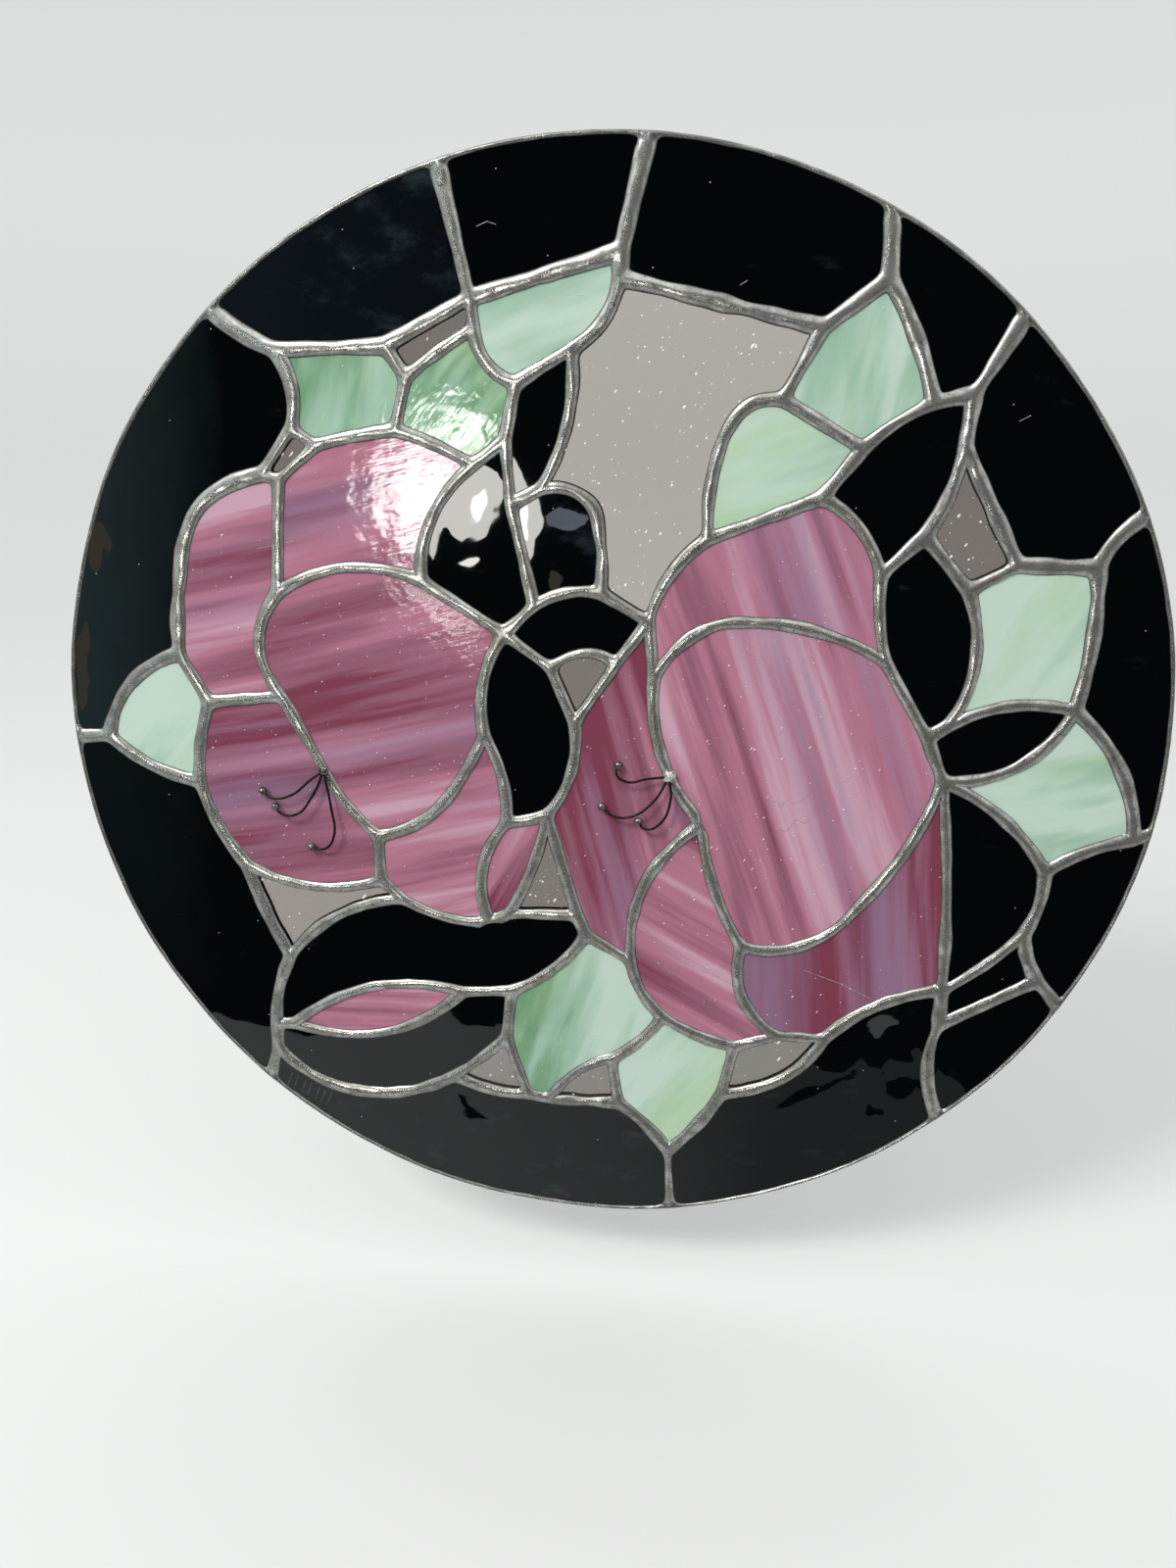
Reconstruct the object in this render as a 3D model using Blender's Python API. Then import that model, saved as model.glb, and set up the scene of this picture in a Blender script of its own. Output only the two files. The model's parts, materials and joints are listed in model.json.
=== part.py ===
"""A round stained glass panel with two pink flowers, made in copper foil.

Fifty-six flat pieces of glass sit in one net of solder, which has a raised
bead over every seam on both faces and a thin rim round the edge. Two sprays
of wire stamens with balls of solder at their tips stand on the front.

The panel hangs in the XZ plane and faces -Y. Its origin is the middle of the
flat at the top of the rim. Lengths are in metres.
"""
import math

import bmesh
import bpy
from mathutils import Vector
from mathutils.geometry import interpolate_bezier

# The panel
PANEL_DIAMETER = 0.380
RIM_SIDES = 60
RIM_SNAP = 0.002

# The glass
GLASS_THICKNESS = 0.003
GLASS_CLEARANCE = 0.0003

# The solder: widths are across a bead, heights are above the glass
PETAL_SEAM_WIDTH = 0.0042
BORDER_SEAM_WIDTH = 0.0050
WIDE_SPOKE_WIDTH = 0.0058
NARROW_SPOKE_WIDTH = 0.0034
BEAD_HEIGHT = 0.0012
RIM_HEIGHT = 0.0008
RIM_LAP = 0.0016
RIM_WALL = 0.0007
WEB_THICKNESS = 0.0008
FACET_SAG = 0.00055
CURVE_STEPS = 16
NEARLY_STRAIGHT = math.radians(12)

# The stamens
WIRE_DIAMETER = 0.0009
BALL_DIAMETER = 0.0030
WIRE_LIFT = 0.0014
FOOT_DIAMETER = 0.0036
WIRE_SIDES = 5
WIRE_STEPS = 5
BALL_RINGS = 4
FOOT_SIDES = 6
FOOT_RINGS = 4

# The photograph that the pattern was read from: its middle and its lens in
# pixels, the eye's place from the middle of the glass's front face in panel
# radii (right, back, up), and its turn
PHOTO_MIDDLE = (600, 800)
LENS_PIXELS = 1200
EYE = (0.217, -2.050, 0.584)
LOOK_LEFT = math.radians(6.43)
LOOK_DOWN = math.radians(17.74)

# Pixels where seams reach the rim, each end by a number
RIM_ENDS = {
    201: (213, 314), 202: (449, 163), 203: (662, 135), 204: (915, 207),
    205: (1052, 318), 206: (1176, 525), 207: (1190, 856), 208: (1081, 1027),
    209: (957, 1140), 210: (686, 1239), 211: (281, 1092), 212: (81, 751),
}

# Pixels where seams meet inside the panel, each joint by a number
JOINTS = {
    # round the left flower and its leaves
    1: (280, 357), 2: (393, 353), 3: (414, 384), 4: (297, 438), 5: (403, 439),
    6: (479, 304), 7: (634, 256), 8: (583, 356), 9: (526, 391), 10: (483, 335),
    104: (320, 455), 107: (632, 283), 119: (268, 484), 19: (284, 488),
    20: (183, 667), 21: (283, 605), 22: (429, 592), 23: (287, 710),
    24: (213, 716), 25: (204, 797), 26: (112, 750), 69: (252, 882),
    70: (389, 898), 71: (386, 853), 72: (411, 917), 73: (500, 941),
    # the dark centre between the flowers
    27: (482, 475), 28: (515, 449), 29: (521, 515), 30: (545, 618),
    31: (514, 647), 32: (662, 635), 33: (612, 605), 34: (551, 499),
    35: (562, 682), 36: (628, 678), 37: (586, 737), 38: (494, 750),
    85: (558, 832), 86: (517, 839),
    # round the right flower and its leaves
    11: (908, 284), 12: (840, 334), 13: (799, 408), 14: (953, 411),
    15: (995, 402), 16: (881, 458), 17: (839, 508), 18: (985, 456),
    39: (667, 692), 40: (723, 550), 41: (899, 587), 42: (944, 547),
    43: (988, 603), 44: (1039, 577), 45: (1121, 580), 46: (904, 676),
    47: (946, 753), 147: (968, 741), 48: (1097, 726), 49: (962, 798),
    50: (1157, 857), 51: (1066, 890), 52: (1044, 954), 53: (961, 1011),
    54: (1058, 1001), 55: (958, 1046), 57: (716, 841), 58: (644, 981),
    59: (756, 966), 60: (792, 1057), 61: (676, 1037), 62: (749, 1068),
    63: (841, 1060),
    # the leaves, the bud and the clear pieces at the bottom
    64: (736, 1116), 65: (681, 1174), 66: (624, 1080), 67: (630, 1125),
    68: (598, 954), 74: (297, 975), 75: (283, 1044), 76: (301, 1044),
    77: (472, 1012), 78: (522, 1011), 79: (517, 1059), 80: (465, 1097),
    81: (562, 1121), 82: (538, 1116), 83: (520, 932), 84: (589, 934),
    175: (284, 1068),
}

# Each seam runs from one joint to another, through the pixels of its bends
SEAMS = {
    "wide spokes": (WIDE_SPOKE_WIDTH, (
        (201, (248, 341), 1),
        (203, 7),
        (204, 11),
    )),
    "spokes": (BORDER_SEAM_WIDTH, (
        (202, (470, 270), 6),
        (205, (1020, 365), 15),
        (206, (1143, 547), 45),
        (207, 50),
        (208, 54),
        (209, (946, 1100), 55),
        (211, 175),
        (212, 26),
    )),
    "bottom spoke": (NARROW_SPOKE_WIDTH, (
        (210, 65),
    )),
    "inner edge of the border, left": (BORDER_SEAM_WIDTH, (
        (1, (298, 398), 4), (1, 2), (2, 6), (4, 119),
        (119, (203, 517), (182, 610), 20), (20, (135, 695), 26),
        (26, (150, 778), 25), (25, (225, 845), 69), (69, (271, 928), 74),
        (74, (286, 1005), 75), (75, 175),
        (175, (330, 1102), (393, 1115), 80), (80, (500, 1111), 82), (82, 81),
        (81, 67), (67, (657, 1146), 65),
    )),
    "inner edge of the border, right": (BORDER_SEAM_WIDTH, (
        (7, (555, 281), 6), (7, 107), (107, (741, 308), 12),
        (11, (870, 310), 12), (11, (934, 340), 14), (14, 15), (15, 18),
        (18, (1013, 514), 44), (44, 45), (45, (1116, 650), 48),
        (48, (1141, 780), 50), (50, (1110, 869), 51), (51, (1063, 915), 52),
        (52, (1048, 978), 54), (54, (1005, 1024), 55), (53, 55),
        (53, (896, 1026), 63), (64, (812, 1092), 63), (64, (714, 1145), 65),
    )),
    "leaves on the left": (PETAL_SEAM_WIDTH, (
        (4, 104), (104, (360, 445), 5), (3, 5), (2, 3), (6, 10),
        (3, (445, 359), 10), (10, (497, 372), 9), (107, (610, 334), 8), (8, 9),
        (5, (440, 452), 27), (27, 28), (28, 9), (104, 19), (119, 19),
        (19, 21), (20, 24), (24, (205, 755), 25),
    )),
    "left flower": (PETAL_SEAM_WIDTH, (
        (21, (350, 579), 22), (21, (264, 655), 23), (23, 24),
        (22, (436, 540), 27), (31, 22), (70, 71),
        (71, (347, 812), (308, 745), 23), (71, (435, 835), (476, 785), 38),
        (38, (492, 700), 31), (38, (514, 800), 86), (69, (330, 905), 70),
        (74, (345, 934), 72), (70, 72), (72, (460, 937), 73), (73, 83),
        (86, (491, 899), 73),
    )),
    "dark centre": (PETAL_SEAM_WIDTH, (
        (28, 29), (29, 34), (29, 30), (34, (579, 430), 8),
        (34, (602, 512), (612, 550), 33), (32, 33), (33, (577, 605), 30),
        (30, 31), (31, 35), (35, (605, 667), 36), (36, 32), (36, 37), (35, 37),
        (86, (538, 837), 85), (85, (584, 785), 37), (85, (537, 900), 83),
        (85, 84), (83, 84), (84, 68),
    )),
    "leaves on the right": (PETAL_SEAM_WIDTH, (
        (12, 13), (13, (756, 418), (733, 465), 40), (13, 16), (14, (907, 437), 16),
        (16, 17), (17, (780, 528), 40), (17, (878, 540), 41), (18, (969, 505), 42),
        (42, 41), (42, 43), (43, 44), (43, (996, 672), 147), (147, 47),
        (147, (1040, 720), 48), (41, (898, 630), 46), (46, 47), (47, 49),
        (48, (1042, 781), 49), (49, (1030, 842), 51),
        (52, (1005, 985), 53), (49, (966, 905), 53),
    )),
    "right flower": (PETAL_SEAM_WIDTH, (
        (49, (881, 920), (825, 964), 59), (63, 60), (60, (757, 1018), 59),
        (59, (725, 895), 57), (57, (656, 905), 58), (57, (673, 765), 39),
        (39, (722, 641), (800, 638), 46), (39, 32), (32, (683, 588), 40),
        (61, (652, 1008), 58), (61, (710, 1056), 62), (60, 62), (68, 58),
    )),
    "bottom leaves and bud": (PETAL_SEAM_WIDTH, (
        (68, (563, 990), 78), (78, 77), (77, (390, 1005), 76),
        (77, (398, 1052), 76), (76, 75), (80, (495, 1077), 79), (79, 78),
        (79, 82), (81, (592, 1092), 66), (66, 67), (66, (655, 1060), 61),
        (62, 64),
    )),
}

# Each piece of glass by a pixel inside it
BLACK_PIECES = {
    "border_left": (140, 500), "border_low_left": (150, 900),
    "border_bottom": (500, 1170), "border_bottom_right": (800, 1170),
    "border_small_low_right": (1000, 1080), "border_low_right": (1110, 950),
    "border_right": (1165, 700), "border_upper_right": (1080, 450),
    "border_top_right": (980, 320), "border_top": (780, 220),
    "border_top_left": (550, 200), "border_upper_left": (320, 280),
    "dark_centre_left": (480, 560), "dark_centre_lens": (555, 430),
    "dark_centre_top": (570, 560), "dark_centre_arch": (590, 640),
    "dark_centre_low": (535, 740), "dark_right_top": (930, 490),
    "dark_right_lens": (945, 650), "dark_right_sliver": (1030, 755),
    "dark_right_low": (1010, 890), "dark_right_small": (1010, 1005),
    "dark_above_bud": (440, 965), "dark_below_bud": (400, 1080),
}
PINK_PIECES = {
    "left_petal_outer": (235, 590), "left_petal_top": (370, 510),
    "left_petal_middle": (390, 710), "left_petal_low": (290, 810),
    "left_petal_bottom": (450, 870), "left_petal_small": (518, 890),
    "right_petal_top": (790, 600), "right_petal_middle": (820, 780),
    "right_petal_inner": (625, 820), "right_petal_bottom": (700, 960),
    "right_petal_low": (870, 1000), "bud": (390, 1030),
}
GREEN_PIECES = {
    "leaf_upper_left": (350, 395), "leaf_over_left_flower": (465, 405),
    "leaf_top": (550, 320), "leaf_top_right": (880, 370),
    "leaf_over_right_flower": (800, 475), "leaf_right": (1050, 650),
    "leaf_low_right": (1090, 800), "leaf_left": (165, 730),
    "leaf_bottom_left": (590, 1040), "leaf_bottom": (690, 1100),
}
CLEAR_PIECES = {
    "clear_top": (660, 430), "clear_upper_left": (440, 340),
    "clear_small_left": (293, 462), "clear_right": (985, 530),
    "clear_centre": (593, 695), "clear_low_left": (310, 920),
    "clear_under_left_flower": (560, 905), "clear_bottom_left": (505, 1090),
    "clear_bottom": (605, 1108), "clear_bottom_right": (785, 1085),
}

# Each stamen's wire by pixels, from its foot on the solder to its ball
STAMENS = {
    "left_stamens": (
        ((330, 787), (318, 795), (296, 812), (277, 814), (268, 807)),
        ((330, 787), (319, 812), (300, 832), (284, 828), (281, 823)),
        ((330, 787), (338, 825), (341, 852), (332, 866), (318, 864)),
    ),
    "right_stamens": (
        ((683, 793), (660, 795), (640, 798), (629, 790), (631, 781)),
        ((683, 793), (665, 820), (642, 834), (624, 832), (614, 823)),
        ((683, 793), (684, 818), (672, 842), (658, 846), (651, 838)),
    ),
}

PANEL_RADIUS = PANEL_DIAMETER / 2
PANEL_MIDDLE = Vector((0, 0, -PANEL_RADIUS))
SLOT_FACE = GLASS_THICKNESS / 2 + GLASS_CLEARANCE
CREST = GLASS_THICKNESS / 2 + BEAD_HEIGHT
RIM_CREST = GLASS_THICKNESS / 2 + RIM_HEIGHT
RIM = "rim"


def clear_scene():
    for thing in list(bpy.data.objects):
        bpy.data.objects.remove(thing)


def finish(name, colour, roughness, metallic=0.0, transmission=0.0):
    """A plain material in the colour and gloss that the photograph shows."""
    material = bpy.data.materials.new(name)
    material.use_nodes = True
    shader = material.node_tree.nodes["Principled BSDF"]
    shader.inputs["Base Color"].default_value = (*colour, 1)
    shader.inputs["Roughness"].default_value = roughness
    shader.inputs["Metallic"].default_value = metallic
    shader.inputs["Transmission Weight"].default_value = transmission
    return material


# The pattern

def on_panel(pixel, ahead=0.0):
    """Where the line of sight through a pixel meets the glass, or a plane ahead of it.

    The point is given across and up from the panel's middle."""
    forward = Vector((
        -math.sin(LOOK_LEFT) * math.cos(LOOK_DOWN),
        math.cos(LOOK_LEFT) * math.cos(LOOK_DOWN),
        -math.sin(LOOK_DOWN),
    ))
    right = Vector((math.cos(LOOK_LEFT), math.sin(LOOK_LEFT), 0))
    up = right.cross(forward)
    across = (pixel[0] - PHOTO_MIDDLE[0]) / LENS_PIXELS
    down = (pixel[1] - PHOTO_MIDDLE[1]) / LENS_PIXELS
    sight = forward + across * right - down * up
    eye = Vector(EYE) * PANEL_RADIUS
    hit = eye - sight * ((ahead + eye.y) / sight.y)
    return Vector((hit.x, hit.z))


def smooth_curve(points):
    """A dense curve through the points, each span a Bezier."""
    if len(points) == 2:
        return list(points)
    spans = [(b - a).length for a, b in zip(points, points[1:])]
    slopes = [(b - a) / span for a, b, span in zip(points, points[1:], spans)]
    tangents = [
        (slopes[i] * spans[i - 1] + slopes[i - 1] * spans[i]) / (spans[i - 1] + spans[i])
        for i in range(1, len(spans))
    ]
    tangents.insert(0, 2 * slopes[0] - tangents[0])
    tangents.append(2 * slopes[-1] - tangents[-1])
    curve = [points[0]]
    for i, span in enumerate(spans):
        start, end = points[i], points[i + 1]
        handles = start + tangents[i] * span / 3, end - tangents[i + 1] * span / 3
        curve += interpolate_bezier(start, *handles, end, CURVE_STEPS + 1)[1:]
    return [p.to_2d() if len(points[0]) == 2 else p for p in curve]


def evenly(curve, count):
    """Points that part a dense curve into count stretches of one length."""
    lengths = [0.0]
    for a, b in zip(curve, curve[1:]):
        lengths.append(lengths[-1] + (b - a).length)
    spaced = [curve[0]]
    at = 0
    for k in range(1, count):
        target = lengths[-1] * k / count
        while lengths[at + 1] < target:
            at += 1
        share = (target - lengths[at]) / (lengths[at + 1] - lengths[at])
        spaced.append(curve[at].lerp(curve[at + 1], share))
    return spaced + [curve[-1]]


def facets(curve):
    """A dense curve as few straight facets, each within FACET_SAG of it."""
    steps = [b - a for a, b in zip(curve, curve[1:])]
    turn = sum(a.angle(b) for a, b in zip(steps, steps[1:]))
    length = sum(step.length for step in steps)
    return evenly(curve, max(1, math.ceil(math.sqrt(length * turn / (8 * FACET_SAG)))))


def rim_points():
    """The rim's corners, a flat side on top, and the seams' ends on its sides."""
    half_side = math.pi / RIM_SIDES
    corner_radius = PANEL_RADIUS / math.cos(half_side)
    placed = []
    for k in range(RIM_SIDES):
        angle = (2 * k + 1) * half_side
        placed.append((angle, corner_radius * Vector((math.sin(angle), math.cos(angle)))))
    ends = {}
    for name, pixel in RIM_ENDS.items():
        toward = on_panel(pixel).normalized()
        angle = math.atan2(toward.x, toward.y) % math.tau
        side = round(angle / (2 * half_side)) * 2 * half_side
        point = toward * PANEL_RADIUS / math.cos(angle - side)
        corner = min(placed, key=lambda spot: (spot[1] - point).length)[1]
        if (corner - point).length < RIM_SNAP:
            ends[name] = corner
        else:
            ends[name] = point
            placed.append((angle, point))
    placed.sort(key=lambda spot: spot[0], reverse=True)
    return [point for angle, point in placed], ends


def seam_graph():
    """Every point of the pattern, and its directed edges with their widths."""
    rim, ends = rim_points()
    points = list(rim)
    edges = {}
    for i in range(len(rim)):
        edges[i, (i + 1) % len(rim)] = RIM
    numbers = {name: rim.index(point) for name, point in ends.items()}
    for name, pixel in JOINTS.items():
        numbers[name] = len(points)
        points.append(on_panel(pixel))
    for width, seams in SEAMS.values():
        for first, *bends, last in seams:
            route = [points[numbers[first]], *map(on_panel, bends), points[numbers[last]]]
            inner = facets(smooth_curve(route))[1:-1]
            chain = [numbers[first], *range(len(points), len(points) + len(inner)), numbers[last]]
            points += inner
            for a, b in zip(chain, chain[1:]):
                edges[a, b] = edges[b, a] = width
    return points, edges, len(rim)


def cells_of(points, edges):
    """The loops of points round each piece of glass, each anticlockwise."""
    def heading(a, b):
        step = points[b] - points[a]
        return math.atan2(step.y, step.x)

    leaving = {}
    for a, b in edges:
        leaving.setdefault(a, []).append(b)
    unused = set(edges)
    cells = []
    while unused:
        start = edge = min(unused)
        cell = []
        while True:
            unused.discard(edge)
            cell.append(edge[0])
            a, b = edge
            back = heading(b, a)
            onward = min(
                (c for c in leaving[b] if c != a),
                key=lambda c: (back - heading(b, c)) % math.tau,
            )
            edge = (b, onward)
            if edge == start:
                break
        cells.append(cell)
    return cells


def inside(point, outline):
    crossings = 0
    for a, b in zip(outline, outline[1:] + outline[:1]):
        if (a.y > point.y) != (b.y > point.y):
            crossings += point.x < a.x + (point.y - a.y) * (b.x - a.x) / (b.y - a.y)
    return crossings % 2 == 1


def inset(outline, depths):
    """The outline moved in by a depth for each edge, one point for each of its own.

    An edge that the move would turn round is dropped, so its two points fall
    together where its neighbours meet."""
    count = len(outline)
    kept = list(range(count))
    lines = []
    for i in range(count):
        a, b = outline[i], outline[(i + 1) % count]
        along = (b - a).normalized()
        shift = Vector((-along.y, along.x)) * depths[i]
        lines.append((a + shift, b + shift, along))
    while True:
        corners = {}
        for before, after in zip(kept[-1:] + kept[:-1], kept):
            corners[after] = corner_between(lines[before], lines[after])
        turned = []
        for this, following in zip(kept, kept[1:] + kept[:1]):
            run = (corners[following] - corners[this]).dot(lines[this][2])
            if run <= 0:
                turned.append((run, this))
        if not turned:
            break
        kept.remove(min(turned)[1])
    moved = []
    for i in range(count):
        later = [k for k in kept if k >= i]
        moved.append(corners[later[0] if later else kept[0]])
    return moved


def corner_between(first, second):
    """Where two moved edges meet, or midway between them if they nearly line up."""
    if first[2].angle(second[2]) < NEARLY_STRAIGHT:
        return (first[1] + second[0]) / 2
    normal_first = Vector((-first[2].y, first[2].x))
    normal_second = Vector((-second[2].y, second[2].x))
    turn = normal_first.cross(normal_second)
    reach_first = normal_first.dot(first[0])
    reach_second = normal_second.dot(second[0])
    return Vector((
        reach_first * normal_second.y - reach_second * normal_first.y,
        reach_second * normal_first.x - reach_first * normal_second.x,
    )) / turn


# The solids

def in_space(point, depth):
    """A point of the pattern at a depth behind the panel's middle plane."""
    return PANEL_MIDDLE + Vector((point.x, depth, point.y))


def add_object(name, shape, material, middle=None):
    """A named object from a bmesh, with its origin at the middle of its shape."""
    middle = middle or Vector()
    bmesh.ops.translate(shape, vec=-middle, verts=shape.verts)
    bmesh.ops.recalc_face_normals(shape, faces=shape.faces)
    mesh = bpy.data.meshes.new(name)
    shape.to_mesh(mesh)
    shape.free()
    mesh.materials.append(material)
    thing = bpy.data.objects.new(name, mesh)
    bpy.context.scene.collection.objects.link(thing)
    thing.location = middle
    return thing


def build_net(points, edges, rim_count, cells, material):
    """The solder: beads on both faces, webs between the glass, and the rim."""
    shape = bmesh.new()
    crests = {}
    for side in (-1, 1):
        for i, point in enumerate(points):
            height = RIM_CREST if i < rim_count else CREST
            crests[side, i] = shape.verts.new(in_space(point, side * height))

    def band(first, second):
        count = len(first)
        for i in range(count):
            corners = [first[i], first[(i + 1) % count], second[(i + 1) % count], second[i]]
            face = list(dict.fromkeys(corners))
            if len(face) > 2:
                shape.faces.new(face)

    def ring(outline, depth):
        placed = {}
        for p in outline:
            if tuple(p) not in placed:
                placed[tuple(p)] = shape.verts.new(in_space(p, depth))
        return [placed[tuple(p)] for p in outline]

    for cell in cells:
        outline = [points[i] for i in cell]
        kinds = [edges[a, b] for a, b in zip(cell, cell[1:] + cell[:1])]
        window = inset(outline, [RIM_LAP if k == RIM else k / 2 for k in kinds])
        slot = inset(outline, [RIM_WALL if k == RIM else WEB_THICKNESS / 2 for k in kinds])
        front, back = ([crests[side, i] for i in cell] for side in (-1, 1))
        window_front, window_back = ring(window, -SLOT_FACE), ring(window, SLOT_FACE)
        slot_front, slot_back = ring(slot, -SLOT_FACE), ring(slot, SLOT_FACE)
        band(front, window_front)
        band(window_front, slot_front)
        band(slot_front, slot_back)
        band(slot_back, window_back)
        band(window_back, back)
    for i in range(rim_count):
        j = (i + 1) % rim_count
        shape.faces.new((crests[-1, i], crests[-1, j], crests[1, j], crests[1, i]))
    return add_object("solder_net", shape, material)


def build_glass(name, outline, kinds, material):
    """One flat piece of glass, clear of the solder all round."""
    depths = [
        GLASS_CLEARANCE + (RIM_WALL if kind == RIM else WEB_THICKNESS / 2) for kind in kinds
    ]
    edge = list(dict.fromkeys(tuple(p) for p in inset(outline, depths)))
    shape = bmesh.new()
    face = shape.faces.new([
        shape.verts.new(in_space(Vector(p), -GLASS_THICKNESS / 2)) for p in edge
    ])
    middle = face.calc_center_median() + Vector((0, GLASS_THICKNESS / 2, 0))
    pushed = bmesh.ops.extrude_face_region(shape, geom=[face])["geom"]
    corners = [part for part in pushed if isinstance(part, bmesh.types.BMVert)]
    bmesh.ops.translate(shape, vec=(0, GLASS_THICKNESS, 0), verts=corners)
    return add_object(name, shape, material, middle)


def wire_with_ball(pixels):
    """One stamen: a bent wire that swells into a ball of solder at its end."""
    wire, ball = WIRE_DIAMETER / 2, BALL_DIAMETER / 2
    foot_depth = CREST + GLASS_CLEARANCE + wire
    ball_depth = SLOT_FACE + ball
    route = []
    for i, pixel in enumerate(pixels):
        share = i / (len(pixels) - 1)
        depth = foot_depth + (ball_depth - foot_depth) * share
        depth += WIRE_LIFT * math.sin(math.pi * share)
        ahead = depth - GLASS_THICKNESS / 2
        route.append(in_space(on_panel(pixel, ahead), -depth))
    path = evenly(smooth_curve(route), WIRE_STEPS)
    end = path.pop()
    out = (end - path[-1]).normalized()
    radii = [wire] * len(path)
    neck = math.sqrt(ball**2 - wire**2)
    for k in range(BALL_RINGS):
        reach = -neck + (2 * neck) * k / (BALL_RINGS - 1)
        path.append(end + out * reach)
        radii.append(math.sqrt(ball**2 - reach**2))
    shape = bmesh.new()
    rings = []
    side = Vector((0, -1, 0))
    for i, point in enumerate(path):
        along = (path[min(i + 1, len(path) - 1)] - path[max(i - 1, 0)]).normalized()
        side = (side - along * side.dot(along)).normalized()
        across = along.cross(side)
        ring = []
        for k in range(WIRE_SIDES):
            angle = math.tau * k / WIRE_SIDES
            offset = side * math.cos(angle) + across * math.sin(angle)
            ring.append(shape.verts.new(point + offset * radii[i]))
        rings.append(ring)
    for first, second in zip(rings, rings[1:]):
        for k in range(WIRE_SIDES):
            after = (k + 1) % WIRE_SIDES
            shape.faces.new((first[k], first[after], second[after], second[k]))
    shape.faces.new(rings[0])
    shape.faces.new(rings[-1])
    return shape


def build_stamens(name, wires, material):
    """A spray of stamens: wires joined to one flattened blob at their foot."""
    foot_half = WIRE_DIAMETER
    foot_depth = CREST + GLASS_CLEARANCE + foot_half
    foot_place = in_space(
        on_panel(wires[0][0], foot_depth - GLASS_THICKNESS / 2), -foot_depth
    )
    blob = bmesh.new()
    bmesh.ops.create_uvsphere(
        blob, u_segments=FOOT_SIDES, v_segments=FOOT_RINGS, radius=FOOT_DIAMETER / 2
    )
    flatten = foot_half / (FOOT_DIAMETER / 2)
    bmesh.ops.scale(blob, vec=(1, flatten, 1), verts=blob.verts)
    spray = add_object(name, blob, material)
    spray.location = foot_place
    for k, pixels in enumerate(wires, start=1):
        wire = add_object(f"{name}_wire_{k}", wire_with_ball(pixels), material)
        wire.hide_render = True
        wire.display_type = "WIRE"
        union = spray.modifiers.new(f"wire {k}", "BOOLEAN")
        union.operation = "UNION"
        union.object = wire
    return spray


def main():
    clear_scene()
    solder = finish("solder", (0.27, 0.26, 0.25), 0.35, metallic=1.0)
    wire = finish("wire", (0.10, 0.09, 0.08), 0.35, metallic=1.0)
    glass = (
        (BLACK_PIECES, finish("black_glass", (0.003, 0.005, 0.007), 0.05)),
        (PINK_PIECES, finish("pink_glass", (0.38, 0.09, 0.17), 0.12)),
        (GREEN_PIECES, finish("green_glass", (0.32, 0.55, 0.38), 0.15)),
        (CLEAR_PIECES, finish("clear_glass", (0.85, 0.82, 0.78), 0.05, transmission=1.0)),
    )

    panel = bpy.data.objects.new("panel", None)
    bpy.context.scene.collection.objects.link(panel)

    points, edges, rim_count = seam_graph()
    cells = cells_of(points, edges)
    pieces = [build_net(points, edges, rim_count, cells, solder)]
    for names, material in glass:
        for name, pixel in names.items():
            spot = on_panel(pixel)
            cell = next(c for c in cells if inside(spot, [points[i] for i in c]))
            outline = [points[i] for i in cell]
            kinds = [edges[a, b] for a, b in zip(cell, cell[1:] + cell[:1])]
            pieces.append(build_glass(name, outline, kinds, material))
    for name, wires in STAMENS.items():
        pieces.append(build_stamens(name, wires, wire))
    for piece in pieces:
        piece.parent = panel


main()
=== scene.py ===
"""Looks of a round stained glass panel with two pink flowers.

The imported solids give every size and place. This script runs the solder as
rounded beads along their seams, lays uneven sheets of streaky, black and seedy
glass in the windows between them, bends the wire stamens, and lights the panel
as the photograph shows it.
"""

import json
import math
from dataclasses import dataclass

import bmesh
import bpy
import numpy as np
from mathutils import Color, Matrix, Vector, noise
from mathutils.geometry import delaunay_2d_cdt, interpolate_bezier

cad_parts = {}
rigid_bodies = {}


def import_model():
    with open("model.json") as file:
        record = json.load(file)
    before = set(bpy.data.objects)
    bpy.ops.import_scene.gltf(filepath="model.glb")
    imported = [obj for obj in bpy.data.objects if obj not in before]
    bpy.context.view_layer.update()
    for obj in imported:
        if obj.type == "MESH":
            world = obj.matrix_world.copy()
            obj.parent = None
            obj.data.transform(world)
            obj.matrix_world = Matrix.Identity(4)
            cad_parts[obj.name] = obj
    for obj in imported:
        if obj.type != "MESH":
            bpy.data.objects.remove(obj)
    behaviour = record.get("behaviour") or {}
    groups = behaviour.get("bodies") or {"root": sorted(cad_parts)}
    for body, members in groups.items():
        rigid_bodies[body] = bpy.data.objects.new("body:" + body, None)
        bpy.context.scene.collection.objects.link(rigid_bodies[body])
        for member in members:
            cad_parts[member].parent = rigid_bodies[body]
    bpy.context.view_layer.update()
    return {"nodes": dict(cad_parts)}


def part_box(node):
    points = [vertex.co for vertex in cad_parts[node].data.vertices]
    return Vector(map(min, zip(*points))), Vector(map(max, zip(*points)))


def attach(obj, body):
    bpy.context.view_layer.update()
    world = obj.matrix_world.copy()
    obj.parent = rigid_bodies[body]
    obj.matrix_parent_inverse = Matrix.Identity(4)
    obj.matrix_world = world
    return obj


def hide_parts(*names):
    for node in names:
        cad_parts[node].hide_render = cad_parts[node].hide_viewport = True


bl_info = {
    "name": "Stained glass panel",
    "version": (1, 0, 0),
    "blender": (4, 5, 0),
    "location": "View3D > Sidebar > Panel",
    "description": "Solder, glass, stamens and studio of a round stained glass panel",
    "category": "Object",
}

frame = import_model()

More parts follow.
